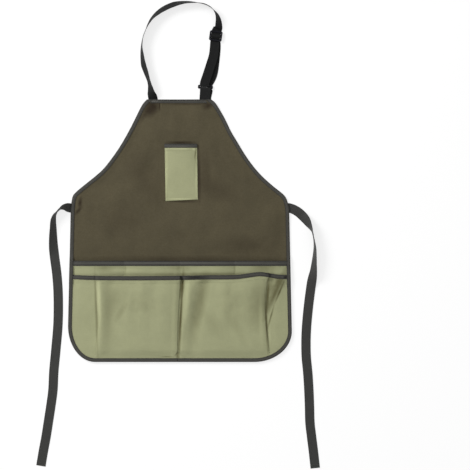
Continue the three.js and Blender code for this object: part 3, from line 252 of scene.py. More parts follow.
class Build:
    """Corners, faces and finishes of one piece, put together from several forms."""

    def __init__(self):
        self.points, self.uvs, self.faces, self.marks, self.count = [], [], [], [], 0

    def add(self, points, uvs, faces, mark=0):
        faces = np.asarray(faces) + self.count
        self.points.append(np.asarray(points, float))
        self.uvs.append(np.asarray(uvs, float))
        self.faces.extend(faces.tolist())
        self.marks.extend([mark] * len(faces))
        self.count += len(points)

    def tube(self, rings, u, v, mark=0):
        """A closed skin through rings of as many points, shut at both ends."""
        rings = np.asarray(rings, float)
        rows, ring = rings.shape[:2]
        k = np.arange(ring)
        n = (k + 1) % ring
        quads = [np.stack([a + k, a + n, a + ring + n, a + ring + k], axis=1)
                 for a in range(0, (rows - 1) * ring, ring)]
        half = ring // 2
        j = np.arange(half - 1)
        last = (rows - 1) * ring
        quads.append(np.stack([j, ring - 1 - j, ring - 2 - j, j + 1], axis=1))
        quads.append(np.stack([last + j, last + j + 1, last + ring - 2 - j, last + ring - 1 - j], axis=1))
        faces = np.vstack(quads)
        flat = rings.reshape(-1, 3)
        uv = np.stack(np.meshgrid(u, v, indexing="ij"), axis=2).reshape(-1, 2)
        a, b, c, d = (flat[faces[:, i]] for i in range(4))
        volume = np.sum(a * np.cross(b, c)) + np.sum(a * np.cross(c, d))
        self.add(flat, uv, faces if volume > 0 else faces[:, ::-1], mark)

    def sheet(self, outer, inner, u, v, mark=0):
        """Cloth between an outer and an inner grid of rows."""
        self.tube(np.concatenate([outer, inner[:, ::-1]], axis=1), u, np.concatenate([v, v[::-1]]), mark)

    def stitches(self, line, up, mark=1, pitch=None, radius=0.00033, fill=0.72):
        """Thread seen above the cloth along a line, each stitch a low arch that dips in at its ends."""
        line = np.asarray(line, float)
        run = run_length(line)
        end = run[-1]
        count = max(int(end / (pitch or sizes().stitch)), 1)
        up = np.broadcast_to(np.asarray(up, float), line.shape)
        start = (np.arange(count) + 0.5 - fill / 2) * end / count
        sides = STITCH_SIDES
        turn = np.arange(sides) * 2 * math.pi / sides
        near = 1e-4
        rings = []
        for share, high, thick in STITCH_ARCH:
            where = start + share * fill * end / count
            ahead = (read_along(np.minimum(where + near, end), run, line)
                     - read_along(np.maximum(where - near, 0), run, line))
            lift_way = read_along(where, run, up)
            lift_way /= np.linalg.norm(lift_way, axis=1)[:, None]
            side = np.cross(ahead, lift_way)
            side /= np.maximum(np.linalg.norm(side, axis=1), 1e-12)[:, None]
            centre = read_along(where, run, line) + lift_way * high * radius
            rings.append(centre[:, None] + side[:, None] * (np.cos(turn) * thick * radius)[None, :, None]
                         + lift_way[:, None] * (np.sin(turn) * thick * radius)[None, :, None])
        grid = np.stack(rings, axis=1)
        stops = len(STITCH_ARCH)
        base = np.arange(count)[:, None, None] * stops * sides
        r = np.arange(stops - 1)[None, :, None] * sides
        k = np.arange(sides)[None, None, :]
        n = (k + 1) % sides
        corners = (base + r + k, base + r + sides + k, base + r + sides + n, base + r + n)
        quads = np.stack(np.broadcast_arrays(*corners), axis=-1)
        points = grid.reshape(-1, 3)
        first = self.count
        self.add(points, np.zeros((len(points), 2)), quads.reshape(-1, 4), mark)
        for stitch in range(count):
            a = first + stitch * stops * sides
            last = a + stops * sides
            self.faces += [list(range(a, a + sides)), list(range(last - 1, last - 1 - sides, -1))]
        self.marks += [mark] * (2 * count)

    def piece(self, name, materials):
        return new_piece(name, np.vstack(self.points), self.faces, np.vstack(self.uvs), self.marks,
                         materials)


def waves(x, y, scale, seed, depth=3):
    """Soft noise over places across and along the cloth, from about -1 to 1."""
    x, y = np.broadcast_arrays(np.asarray(x, float), np.asarray(y, float))
    flat = [noise.fractal(Vector((a * scale, b * scale, seed)), 0.8, 2.1, depth)
            for a, b in zip(x.ravel(), y.ravel())]
    return np.array(flat).reshape(x.shape)


EFFECTS = {}


class Tree:
    """Adds nodes to a node tree and links what is given to their sockets."""

    def __init__(self, tree):
        self.tree = tree

    def feed(self, node, sockets):
        """Links each socket that is given to its place in the node, and sets each value."""
        for name, value in sockets.items():
            if isinstance(value, bpy.types.NodeSocket):
                self.tree.links.new(value, node.inputs[name])
            else:
                node.inputs[name].default_value = value

    def add(self, kind, output=0, sockets=None, **settings):
        node = self.tree.nodes.new(kind)
        for name, value in settings.items():
            setattr(node, name, value)
        self.feed(node, sockets or {})
        return node.outputs[output]

    def effect(self, make, **sockets):
        """Places a shared effect, which is made on its first use, and gives its outputs."""
        if make not in EFFECTS:
            EFFECTS[make] = make()
        node = self.tree.nodes.new("ShaderNodeGroup")
        node.node_tree = EFFECTS[make]
        self.feed(node, sockets)
        return list(node.outputs)

    def math(self, operation, a, b=0.0):
        return self.add("ShaderNodeMath", sockets={0: a, 1: b}, operation=operation)

    def times(self, a, b):
        return self.math("MULTIPLY", a, b)

    def noise(self, vector, scale, detail=3.0, roughness=0.55):
        return self.add("ShaderNodeTexNoise", sockets={"Vector": vector, "Scale": scale, "Detail": detail,
                                                      "Roughness": roughness})

    def bands(self, vector, scale, direction, distortion=0.0):
        return self.add("ShaderNodeTexWave", "Fac", wave_type="BANDS", bands_direction=direction, sockets={
            "Vector": vector, "Scale": scale, "Distortion": distortion, "Detail": 1.0})

    def level(self, value, low, high, to_low=0.0, to_high=1.0):
        return self.add("ShaderNodeMapRange", clamp=True, sockets={
            "Value": value, "From Min": low, "From Max": high, "To Min": to_low, "To Max": to_high})

    def tinted(self, mask, low, high):
        return self.add("ShaderNodeMix", output=2, data_type="RGBA", sockets={0: mask, 6: low, 7: high})

    def place(self):
        return self.add("ShaderNodeTexCoord", output="Object")

    def from_middle(self, along):
        """How far a place of the run is from the middle of the tape's width."""
        across = self.add("ShaderNodeSeparateXYZ", output=1, sockets={0: along})
        return self.math("ABSOLUTE", self.math("SUBTRACT", across, 0.5))


def effect(name, inputs, outputs, build):
    """A shared node group: inputs as name and number or vector, outputs as names."""
    group = bpy.data.node_groups.new(name, "ShaderNodeTree")
    for label, default in inputs.items():
        kind = "NodeSocketFloat" if isinstance(default, float) else "NodeSocketVector"
        socket = group.interface.new_socket(label, in_out="INPUT", socket_type=kind)
        socket.default_value = default
    for label in outputs:
        group.interface.new_socket(label, in_out="OUTPUT", socket_type="NodeSocketFloat")
    start = group.nodes.new("NodeGroupInput")
    end = group.nodes.new("NodeGroupOutput")
    for label, value in zip(outputs, build(Tree(group), start.outputs)):
        group.links.new(value, end.inputs[label])
    return group


ORIGIN = (0, 0, 0)


def weave_effect():
    """Plain weave: warp and weft that pass over one another, and slubs in the yarn."""
    def build(t, given):
        warp, weft = (t.bands(given["Vector"], given["Threads"], way, 0.6) for way in "XY")
        slubs = t.noise(given["Vector"], 900.0, 2.0)
        height = t.math("ADD", t.times(t.times(warp, weft), 0.7), t.times(slubs, 0.5))
        return height, t.level(height, 0.15, 0.85)
    return effect("Plain weave", {"Vector": ORIGIN, "Threads": 300.0}, ("Height", "Yarn"), build)


def mottle_effect():
    """Uneven dye and rubbing: broad clouds, streaks of yarn and small specks."""
    def build(t, given):
        vector = given["Vector"]
        clouds = t.noise(vector, given["Broad"], 4.0, 0.6)
        grain = t.noise(vector, given["Fine"], 3.0, 0.7)
        stretched = t.add("ShaderNodeMapping", sockets={"Vector": vector, "Scale": (1.0, 14.0, 1.0)})
        streaks = t.noise(stretched, 60.0, 3.0)
        tone = t.math("ADD", t.times(clouds, 0.5), t.times(grain, 0.3))
        tone = t.math("ADD", tone, t.times(streaks, 0.2))
        return t.level(tone, 0.32, 0.68), t.level(grain, 0.3, 0.7)
    return effect("Uneven dye", {"Vector": ORIGIN, "Broad": 9.0, "Fine": 220.0}, ("Tone", "Grain"), build)


def ribs_effect():
    """Narrow woven tape: picks across its run, cords along it, and a mask darker along both edges for its
    dense selvedges and for painted shade where its edges turn away.
    """
    def build(t, given):
        selvedge = t.level(t.from_middle(given["Run"]), given["Selvedge"], 0.5)
        picks = t.bands(given["Run"], given["Picks"], "X", 0.4)
        cords = t.bands(given["Run"], given["Cords"], "Y")
        return t.math("ADD", t.times(picks, 0.6), t.times(cords, 0.4)), selvedge, picks
    return effect("Woven tape", {"Run": ORIGIN, "Picks": 350.0, "Cords": 3.0, "Selvedge": 0.42},
                  ("Height", "Selvedge", "Picks"), build)


def patch_effect():
    """A soft mask for a place of painted shade or painted highlight on the cloth, of a given middle, size
    and softness.
    """
    def build(t, given):
        shape = t.add("ShaderNodeMapping", vector_type="TEXTURE", sockets={
            "Vector": given["Vector"], "Location": given["Middle"], "Rotation": given["Turn"],
            "Scale": given["Size"]})
        ripple = t.noise(given["Vector"], 70.0, 2.0)
        far = t.add("ShaderNodeVectorMath", output="Value", sockets={0: shape}, operation="LENGTH")
        far = t.math("ADD", far, t.times(t.math("SUBTRACT", ripple, 0.5), 0.35))
        return t.level(far, given["Core"], 1.15, 1.0, 0.0),
    return effect("Painted shade patch", {"Vector": ORIGIN, "Middle": ORIGIN, "Size": (0.05, 0.05, 1), "Turn": ORIGIN,
                                 "Core": 0.4}, ("Mask",), build)


def new_material(name, build, sheen=0.0, specular=0.3, glow=0.0):
    """A principled material whose colour, roughness and bump height and depth come from build."""
    material = bpy.data.materials.new(name)
    material.use_nodes = True
    t = Tree(material.node_tree)
    colour, roughness, height, distance = build(t)
    bump = t.add("ShaderNodeBump", sockets={"Height": height, "Distance": distance, "Strength": 0.6})
    t.feed(material.node_tree.nodes["Principled BSDF"], {
        "Base Color": colour, "Roughness": roughness, "Normal": bump, "Sheen Weight": sheen,
        "Sheen Roughness": 0.5, "Specular IOR Level": specular, "Emission Color": (1, 1, 1, 1),
        "Emission Strength": glow})
    return material


def shaded(t, at, base, patches, deep, light):
    """Paints shade into the cloth in soft places, or paints a highlight where the depth is below zero.

    patches: (middle across and along, half width, half length, lean to the right in degrees, depth).
    """
    for across, along, wide, high, lean, depth in patches:
        mask, = t.effect(patch_effect, Vector=at, Middle=(across, along, PATCH_HEIGHT),
                         Size=(wide, high, 1.0), Turn=(0, 0, -math.radians(lean)), Core=0.15)
        base = t.tinted(t.times(mask, abs(depth)), base, deep if depth > 0 else light)
    return base


def rgba(colour, factor=1.0):
    return tuple(min(c * factor, 1.0) for c in colour) + (1.0,)


def side_x(y, side):
    s = sizes()
    share = np.clip(np.asarray(y, float) / -s.skirt_height, 0, 1)
    return side * mix(s.waist_width, s.hem_width, share) / 2


def armhole(table, side):
    s = sizes()
    top = s.bib_shift + side * s.bib_width / 2
    out = side * s.waist_width / 2
    return spline([(mix(top, out, across), s.bib_height * (1 - down)) for down, across in table], 6)


def hem_arc(side, steps=24):
    s = sizes()
    wide, high = HEM_CORNER[side]
    start = math.pi if side < 0 else 1.5 * math.pi
    turn = np.linspace(start, start + math.pi / 2, steps)
    x = side * (s.hem_width / 2 - wide) + wide * np.cos(turn)
    return np.stack([x, high - s.skirt_height + high * np.sin(turn)], axis=1)


def open_edge(pitch):
    """The outer edge from the bib's left corner down, round the hem and up to its right corner."""
    line = np.vstack([armhole(ARMHOLE_LEFT, -1), hem_arc(-1), hem_arc(1), armhole(ARMHOLE_RIGHT, 1)[::-1]])
    return resample(line, pitch)


# Ends sewn behind the panel: middle of the strap's, the tab's and the ties' ends, and how far from an end
# the panel stays raised and lies down again
STRAP_X = -0.0718
TAB_X = 0.0660
TIE_Y = -0.0265
LIFT_KEPT = 0.004
LIFT_FADE = 0.038


def outside(x, y, wide, high):
    """Distance from a rectangle round the origin."""
    return np.hypot(np.maximum(np.abs(x) - wide / 2, 0), np.maximum(np.abs(y) - high / 2, 0))


def lift(x, y):
    """How far the panel and its tape are raised by the ends sewn beneath them."""
    s = sizes()
    top = s.bib_height - s.sewn / 2
    ends = (
        (STRAP_X, top, s.webbing_width, s.sewn, s.webbing + s.gap),
        (TAB_X, top, s.tab_width, s.sewn, 2 * (s.webbing + s.gap)),
        (side_x(TIE_Y, -1) + s.sewn / 2, TIE_Y, s.sewn, s.webbing_width, s.tie + s.gap),
        (side_x(TIE_Y, 1) - s.sewn / 2, TIE_Y, s.sewn, s.webbing_width, s.tie + s.gap),
    )
    rise = np.zeros(np.shape(x))
    for middle_x, middle_y, wide, high, full in ends:
        away = outside(x - middle_x, y - middle_y, wide, high)
        rise = np.maximum(rise, full * (1 - ease(away, LIFT_KEPT, LIFT_FADE)))
    return rise


def under_leg(y):
    """Underside of the edge tape's upper leg, which steps over the pockets' layers."""
    s = sizes()
    first = s.tape + s.gap
    pitch = s.cloth + s.gap
    taped = s.cloth + 2 * (s.gap + s.tape) + s.gap
    rear_foot = s.rear_top - s.rear_tape
    front_foot = s.front_top - s.front_tape
    steps = np.array([
        (s.rear_top + 0.016, first + pitch),
        (s.rear_top + 0.003, first + pitch + taped),
        (rear_foot - 0.003, first + pitch + taped),
        (s.front_top + 0.005, first + 2 * pitch + taped),
        (front_foot - 0.004, first + 2 * pitch + taped),
        (front_foot - 0.020, first + 3 * pitch),
    ])[::-1]
    return np.interp(y, steps[:, 0], steps[:, 1])


# Middle of the breast pocket, and how far from the edge tape the canvas has come down to the surface
BREAST_X = 0.0035
EDGE_SETTLED = (0.010, 0.026)

# Soft folds in the canvas: middle across and along, half length, heading in degrees, half width, height
SOFT_FOLDS = (
    (0.062, 0.055, 0.075, 100, 0.018, 0.0022),
    (0.085, 0.110, 0.050, 112, 0.016, 0.0016),
    (-0.095, 0.120, 0.060, 62, 0.020, 0.0018),
    (-0.120, 0.020, 0.090, 25, 0.024, 0.0016),
    (0.150, -0.020, 0.100, 150, 0.026, 0.0020),
    (-0.040, -0.080, 0.110, 8, 0.022, 0.0014),
    (0.170, -0.110, 0.080, 170, 0.020, 0.0018),
    (-0.200, -0.090, 0.070, 75, 0.022, 0.0016),
    (-0.016, 0.200, 0.055, 85, 0.016, 0.0014),
    (0.236, -0.070, 0.060, 95, 0.018, 0.0012),
)


def canvas_height(x, y, edge):
    """Height of the panel's underside: raised at its edges and sewn ends, softly rippled between."""
    s = sizes()
    away = np.full(x.shape, np.inf)
    for row in range(x.shape[0]):
        gaps = np.hypot(x[row][:, None] - edge[None, :, 0], y[row][:, None] - edge[None, :, 1])
        away[row] = gaps.min(axis=1)
    base = (s.tape + s.gap) * (1 - ease(away, *EDGE_SETTLED)) + lift(x, y)
    pocket = outside(x - BREAST_X, y - s.breast_top + s.breast_height / 2, s.breast_width, s.breast_height)
    free = (ease(away, 0.010, 0.045) * ease(pocket, 0.001, 0.030)
            * ease(y, s.rear_top + 0.002, s.rear_top + 0.045))
    broad, fine = waves(x, y, 11.0, 3.0), waves(x, y, 34.0, 8.0)
    ripple = s.ripple * (0.5 + 0.5 * broad) + 0.35 * s.ripple * (0.5 + fine)
    for middle_x, middle_y, reach, heading, wide, high in SOFT_FOLDS:
        way = math.radians(heading)
        along = (x - middle_x) * math.cos(way) + (y - middle_y) * math.sin(way)
        across = (y - middle_y) * math.cos(way) - (x - middle_x) * math.sin(way) + 0.05 * along**2 / reach
        ripple = ripple + high * np.exp(-(along / reach) ** 2 - (across / wide) ** 2)
    return base + np.maximum(ripple, 0) * free


def make_panel():
    s = sizes()
    edge = open_edge(0.003)
    inset = edge + normals_of(edge) * (s.tape + s.gap)
    foot = inset[:, 1].min() + 0.00005
    head = s.bib_height - s.tape - s.gap
    left, right = np.split(inset, [len(inset) // 2])
    round_rows = foot + 0.100 * (1 - np.cos(np.linspace(0, math.pi / 2, 16)))
    rows = np.concatenate([round_rows[:-1], np.linspace(round_rows[-1], head, 100)])
    x_left = np.interp(rows, left[::-1, 1], left[::-1, 0])
    x_right = np.interp(rows, right[:, 1], right[:, 0])
    across = np.linspace(0, 1, 97)
    x = mix(x_left[:, None], x_right[:, None], across[None, :])
    y = np.repeat(rows[:, None], len(across), axis=1)
    top = np.stack([np.linspace(edge[-1, 0], edge[0, 0], 60), np.full(60, s.bib_height)], axis=1)
    z = canvas_height(x, y, np.vstack([edge, top]))
    under = np.stack([x, y, z], axis=2)
    over = under + (0, 0, s.cloth)
    build = Build()
    build.sheet(over, under, rows, across)
    return build.piece("canvas_panel", [finish("Brown canvas")])


# Section of the folded tape's upper leg: place in from the outer edge as a share of the width, and relief
TAPE_RELIEF = (
    (0.13, 0.00006), (0.19, -0.00012), (0.25, 0.00006), (0.38, 0.00022), (0.52, 0.00028), (0.64, 0.00018),
    (0.73, 0.00002), (0.79, -0.00014), (0.85, 0.00002), (0.93, 0.00002), (1.0, -0.00022),
)
# Stitch rows as shares of the width, and steps along the tape
STITCHED = (0.19, 0.79)
TAPE_STEP = 0.0035


def fold_over(build, line, inward, high, width, rise):
    """Tape folded over a flat edge: line and inward are flat, high is the upper leg's underside."""
    s = sizes()
    round_in = 0.0009
    corner = 0.3 * round_in
    top = high + s.tape
    outer = [(width, 0), (round_in, 0), (corner, corner), (0, round_in),
             (0, top - round_in), (corner, top - corner), (round_in, top)]
    outer += [(share * width, top + relief) for share, relief in TAPE_RELIEF]
    inner = [(max(place, s.tape), np.clip(z, s.tape, top - s.tape)) for place, z in outer[::-1]]

    def course(place, z):
        x, y = (line + inward * place).T
        return np.stack([x, y, z + rise(x, y)], axis=1)

    v = [place / width for place, _ in outer]
    rings = [course(place, z) for place, z in outer + inner]
    build.tube(np.stack(rings, axis=1), run_length(line), np.array(v + v[::-1]))
    for share in STITCHED:
        relief = np.interp(share, *zip(*TAPE_RELIEF))
        build.stitches(course(share * width, top + relief)[1:-1], (0, 0, 1))


def tape_piece(build, name, *more):
    return build.piece(name, [finish(kind) for kind in ("Grey edge tape", "Sewing thread", *more)])


def make_side_binding():
    s = sizes()
    line = open_edge(TAPE_STEP)
    inward = normals_of(line)
    inward[0] = (1 / inward[0, 0], 0)
    inward[-1] = (1 / inward[-1, 0], 0)
    build = Build()
    wander = 0.00035 * waves(line[:, 0], line[:, 1], 30.0, 5.0, 2)
    fold_over(build, line, inward, under_leg(line[:, 1]) + np.maximum(wander, 0), s.edge_tape, lift)
    return tape_piece(build, "side_tape")


def make_top_binding():
    s = sizes()
    edge = open_edge(TAPE_STEP)
    normals = normals_of(edge)
    start = edge[0, 0] + s.edge_tape / normals[0, 0] + 2 * s.gap
    end = edge[-1, 0] + s.edge_tape / normals[-1, 0] - 2 * s.gap
    x = np.linspace(start, end, 50)
    line = np.stack([x, np.full(50, s.bib_height)], axis=1)

    def slant(table, side):
        first, later = armhole(table, side)[[0, 12]]
        return (later[0] - first[0]) / (first[1] - later[1])

    mitre = 0.012
    lean = np.where(x < s.bib_shift, slant(ARMHOLE_LEFT, -1) * (1 - ease(x, start, start + mitre)),
                    slant(ARMHOLE_RIGHT, 1) * ease(x, end - mitre, end))
    inward = np.stack([lean, np.full(50, -1.0)], axis=1)
    high = np.full(50, s.tape + s.cloth + 2 * s.gap)
    build = Build()
    fold_over(build, line, inward, high, s.edge_tape, lift)
    tack_x = np.linspace(STRAP_X - 0.0092, STRAP_X + 0.0118, 9)
    tack_y = s.bib_height - 0.0035 - 0.004 * (np.arange(9) % 2)
    tack = np.stack([tack_x, tack_y, high[0] + s.tape + 0.0004 + lift(tack_x, tack_y)], axis=1)
    build.stitches(tack, (0, 0, 1), mark=2, pitch=0.0028, radius=0.00045)
    return tape_piece(build, "top_tape", "Light thread")


def bend_normals(row, most):
    """Normals of a row that bends in the XZ plane, no longer than most at its bends."""
    flat = normals_of(row[:, [0, 2]])
    size = np.linalg.norm(flat, axis=1)
    flat = flat / size[:, None] * np.minimum(size, most)[:, None]
    return np.stack([flat[:, 0], 0 * size, flat[:, 1]], axis=1)


def cloth_rows(build, rows, u, v):
    """Cloth of even thickness through rows of its middle layer."""
    rows = np.asarray(rows, float)
    normals = np.array([bend_normals(row, 1.25) for row in rows])
    half = normals * sizes().cloth / 2
    build.sheet(rows + half, rows - half, u, v)
    return normals


def pocket_piece(build, name):
    return build.piece(name, [finish("Sage pocket cloth"), finish("Sage thread")])


def mouth_tape(name, row, width, skip=()):
    """Tape folded over a pocket's mouth, along the top line of its cloth."""
    s = sizes()
    normals = bend_normals(row, 1.3)
    out = s.cloth / 2 + s.gap + s.tape
    inside = out - s.tape
    round_in = 0.0008
    corner = 0.3 * round_in
    front = [(out + relief * 0.9, share * width) for share, relief in TAPE_RELIEF[::-1]]
    front[0] = (out - 0.00008, width)
    fold = [(out, round_in), (out - corner, corner), (out - round_in, 0)]
    back = [(-out + round_in, 0), (-out + corner, corner), (-out, round_in), (-out, width)]
    outer = front + fold + back
    inner = [(max(min(away, inside), -inside), max(down, s.tape)) for away, down in outer][::-1]

    def course(away, down):
        return row + normals * away + (0, s.tape + s.gap - down, 0)

    v = np.array([down / width for _, down in outer])
    build = Build()
    build.tube(np.stack([course(*place) for place in outer + inner], axis=1), run_length(row),
               np.concatenate([v, v[::-1]]))
    for share in STITCHED:
        line = course(out - 0.0001, share * width)
        keep = np.ones(len(line), bool)
        for start, end in skip:
            keep &= (line[:, 0] < start) | (line[:, 0] > end)
        for part in np.split(np.arange(len(line)), np.flatnonzero(np.diff(keep.astype(int))) + 1):
            if keep[part[0]] and len(part) > 3:
                build.stitches(line[part], normals[part])
    return tape_piece(build, name)


# Stitch lines of the rear pocket, how far cloth is tucked into the edge tape and how far it lies flat
# beside it, and the swell of the rear and breast pockets
STITCH_LINES = (-0.149, 0.0, 0.145)
TUCK = 0.004
FLAT_BESIDE = 0.003
SWELL = 0.0052


def tucked_hem_y(x):
    s = sizes()
    y = np.full(np.shape(x), TUCK - s.skirt_height)
    for side, (wide, high) in HEM_CORNER.items():
        out = side * np.asarray(x) - (s.hem_width / 2 - wide)
        share = np.clip(out / (wide - TUCK), 0, 1)
        y = np.where(out > 0, high - s.skirt_height - (high - TUCK) * np.sqrt(1 - share**2), y)
    return y


def bend_y():
    return 0.020 + max(high for _, high in HEM_CORNER.values()) - sizes().skirt_height


def rear_fade(y):
    s = sizes()
    start = s.front_top - s.front_tape - 0.004
    return 1 - ease(start - y, 0, (start + s.skirt_height) * 0.75)


def edge_levels():
    s = sizes()
    body = s.tape + s.gap
    return body, body + s.cloth + s.gap, body + 2 * (s.cloth + s.gap)


def rear_z(x, y, flat=False):
    """Height of the rear pocket cloth's middle layer, sewn down at its stitch lines."""
    s = sizes()
    x = np.asarray(x, float)
    taped = y > s.rear_top - s.rear_tape - 0.0021
    half = s.cloth / 2 + (s.gap + s.tape if taped else 0)
    edge = edge_levels()[1] + half
    sewn = s.cloth + s.gap + half
    inset = s.edge_tape + FLAT_BESIDE
    bounds = np.array([side_x(y, -1) + inset, *STITCH_LINES, side_x(y, 1) - inset])
    if flat:
        return np.full(x.shape, edge)
    k = np.clip(np.searchsorted(bounds, x, side="right") - 1, 0, 3)
    t = (x - bounds[k]) / (bounds[k + 1] - bounds[k])
    base = mix(np.where(k == 0, edge, sewn), np.where(k == 3, edge, sewn), t)
    full = SWELL * rear_fade(y) * (1 - np.abs(2 * t - 1) ** 3)
    return np.where((x <= bounds[0]) | (x >= bounds[-1]), edge, base + full)


def make_rear_pocket():
    s = sizes()
    mouth_end = s.rear_top - s.rear_tape - 0.002
    straight = [s.rear_top - s.tape - s.gap, mouth_end, mouth_end - 0.004]
    straight += list(np.linspace(mouth_end - 0.008, bend_y(), 16))
    near = [place + shift for place in STITCH_LINES for shift in (-0.004, 0.0001, 0.004)]
    rows = []
    for y in straight:
        x = mix(side_x(y, -1) + TUCK, side_x(y, 1) - TUCK, np.linspace(0, 1, 72))
        x = np.sort(np.concatenate([x, near]))
        rows.append(np.stack([x, np.full(len(x), y), rear_z(x, y)], axis=1))
    for share in (0.2, 0.4, 0.6, 0.8, 1):
        y = mix(bend_y(), -s.skirt_height, share)
        x = rows[-1][:, 0]
        rows.append(np.stack([x, mix(bend_y(), tucked_hem_y(x), share), rear_z(x, y, share > 0.7)], axis=1))
    build = Build()
    v = (rows[0][:, 0] - rows[0][0, 0]) / np.ptp(rows[0][:, 0])
    cloth_rows(build, rows, -np.array([row[:, 1].mean() for row in rows]), v)
    ys = np.linspace(mouth_end, s.front_top + 0.002, 24)
    for place in STITCH_LINES:
        for x in (place - 0.0012, place + 0.0012):
            row = np.array([(x, y, rear_z([x], y)[0] + s.cloth / 2) for y in ys])
            build.stitches(row, (0, 0, 1))
    pocket = pocket_piece(build, "rear_pocket_cloth")
    even = np.linspace(rows[0][0, 0], rows[0][-1, 0], 150)
    x = np.sort(np.concatenate([even, np.array(STITCH_LINES) + 0.0001]))
    top = straight[0]
    mouth = np.stack([x, np.full(len(x), top), rear_z(x, top)], axis=1)
    tape = mouth_tape("rear_pocket_tape", mouth, s.rear_tape)
    return pocket, tape


def front_mouth_y(x):
    s = sizes()
    across = 2 * np.asarray(x) / s.hem_width
    smooth = spline(FRONT_MOUTH, 8)
    return s.front_top + s.front_tape * np.interp(across, smooth[:, 0], smooth[:, 1])


def half_turn(x, side, start, end, steps):
    radius = abs(end - start) / 2
    angle = np.linspace(-math.pi / 2, math.pi / 2, steps)
    across = x - side * radius + side * radius * np.cos(angle)
    return np.stack([across, (start + end) / 2 + (end - start) / 2 * np.sin(angle)], axis=1)


# Front pocket: room over the rear pocket, how far a pleat runs under, swell of its free runs at the mouth
# and below it, and width of a pleat where it is sewn flat
OVER_REAR = 0.0012
PLEAT_UNDER = 0.015
MOUTH_SWELL = 0.0015
RUN_SWELL = 0.0085
PLEAT_SEWN = 0.008

# Swell of the front pocket's three free runs as (share of the run, share of the swell)
LEFT_RUN = (
    (0, 0), (0.02, 0.75), (0.05, 1.05), (0.09, 0.85), (0.16, 0.3), (0.24, 0.38), (0.36, 0.85), (0.5, 1),
    (0.66, 0.8), (0.8, 1), (0.91, 0.7), (0.97, 0.3), (1, 0),
)
CENTRE_RUN = ((0, 0), (0.1, 0.7), (0.28, 1.05), (0.55, 0.9), (0.82, 0.35), (1, 0.05))
RIGHT_RUN = (
    (0, 0.05), (0.06, 0.25), (0.16, 0.75), (0.34, 1.1), (0.52, 0.86), (0.68, 1), (0.84, 0.85), (0.94, 0.55),
    (1, 0),
)


def free_run(start, end, high, full, table, steps, y, seed):
    curve = spline(table, 6)
    t = np.linspace(0, 1, steps + 2)[1:-1]
    x = mix(start, end, t)
    rise = np.interp(t, curve[:, 0], curve[:, 1])
    wrinkle = 0.16 * waves(x, y, 26.0, seed) + 0.3 * waves(x * 1.6, y, 9.0, seed + 4)
    return np.stack([x, high + full * np.maximum(rise + wrinkle * np.sin(math.pi * t), 0)], axis=1)


def front_line(y, taped=False, flat=False):
    """Line across the front pocket, from its left edge over its runs and pleats to its right edge."""
    s = sizes()
    half = s.cloth / 2 + (s.gap + s.tape if taped else 0)
    edge = edge_levels()[2] + half
    hem = -s.skirt_height
    share = float(np.clip((s.front_top - y) / (s.front_top - hem), 0, 1))
    folds = spline(FRONT_FOLDS, 6)
    left, cl, cr, valley, right, crease = (
        float(np.interp(share, folds[:, 0], folds[:, k])) * s.hem_width / 2 for k in range(1, 7))
    above_rear = s.cloth / 2 + s.gap + half + OVER_REAR
    sewn = s.cloth + s.gap + s.cloth / 2
    low = edge if flat else max(edge, sewn + SWELL * float(rear_fade(y)) + above_rear)
    pitch = 0 if flat else 2 * half + s.gap + 0.0001
    middle, high = low + pitch, low + 2 * pitch
    under = PLEAT_UNDER * (1 - 0.7 * share)
    full = 0 if flat else MOUTH_SWELL if taped else RUN_SWELL * math.sin(math.pi * math.sqrt(share)) ** 0.7
    side_left, side_right = float(side_x(y, -1)), float(side_x(y, 1))
    inset = s.edge_tape + FLAT_BESIDE
    flat_left, flat_right = side_left + inset + 0.001, side_right - inset - 0.001

    def over_rear(x):
        return edge if flat else max(edge, float(rear_z([x], y)[0]) + above_rear)

    crease_x = min(max(crease, right + 0.018), flat_right - 0.007)
    out_x = mix(crease_x, flat_right, 0.5)
    crease_z, out_z = over_rear(crease), over_rear(out_x)
    spread = PLEAT_SEWN if flat else 0.0
    turn = 7

    def pleat(x, side, *turns):
        """Two half turns given as place, side, start and end, or their points side by side where flat."""
        if flat:
            start = x - spread if side < 0 else x
            count = 2 * turn
            return np.stack([start + (np.arange(count) + 0.5) * spread / count, np.full(count, low)], axis=1)
        return np.vstack([half_turn(*given, turn) for given in turns])

    def row(*places):
        return np.array(places, float)

    return np.vstack([
        row((side_left + TUCK, edge), (flat_left, edge), (flat_left + 0.008, mix(edge, low, 0.45)),
            (flat_left + 0.016, mix(edge, low, 0.85)), (left - 0.020, low)),
        pleat(left, -1, (left + under, 1, low, middle), (left, -1, middle, high)),
        free_run(left, cl - spread, high, full, LEFT_RUN, 46, y, 1.0),
        pleat(cl, -1, (cl, 1, high, middle), (cl - under, -1, middle, low)),
        row(((cl + cr) / 2, low)),
        pleat(cr, 1, (cr + under, 1, low, middle), (cr, -1, middle, high)),
        free_run(cr + spread, valley, high, full, CENTRE_RUN, 18, y, 11.0),
        free_run(valley, right, high, full, RIGHT_RUN, 40, y, 17.0),
        pleat(right, 1, (right, 1, high, middle), (right - under, -1, middle, low)),
        row((right + 0.010, low), (mix(right + 0.010, crease_x, 0.5), mix(low, crease_z, 0.3)),
            (crease_x, crease_z), (out_x, out_z), (flat_right, edge), (side_right - TUCK, edge)),
    ])


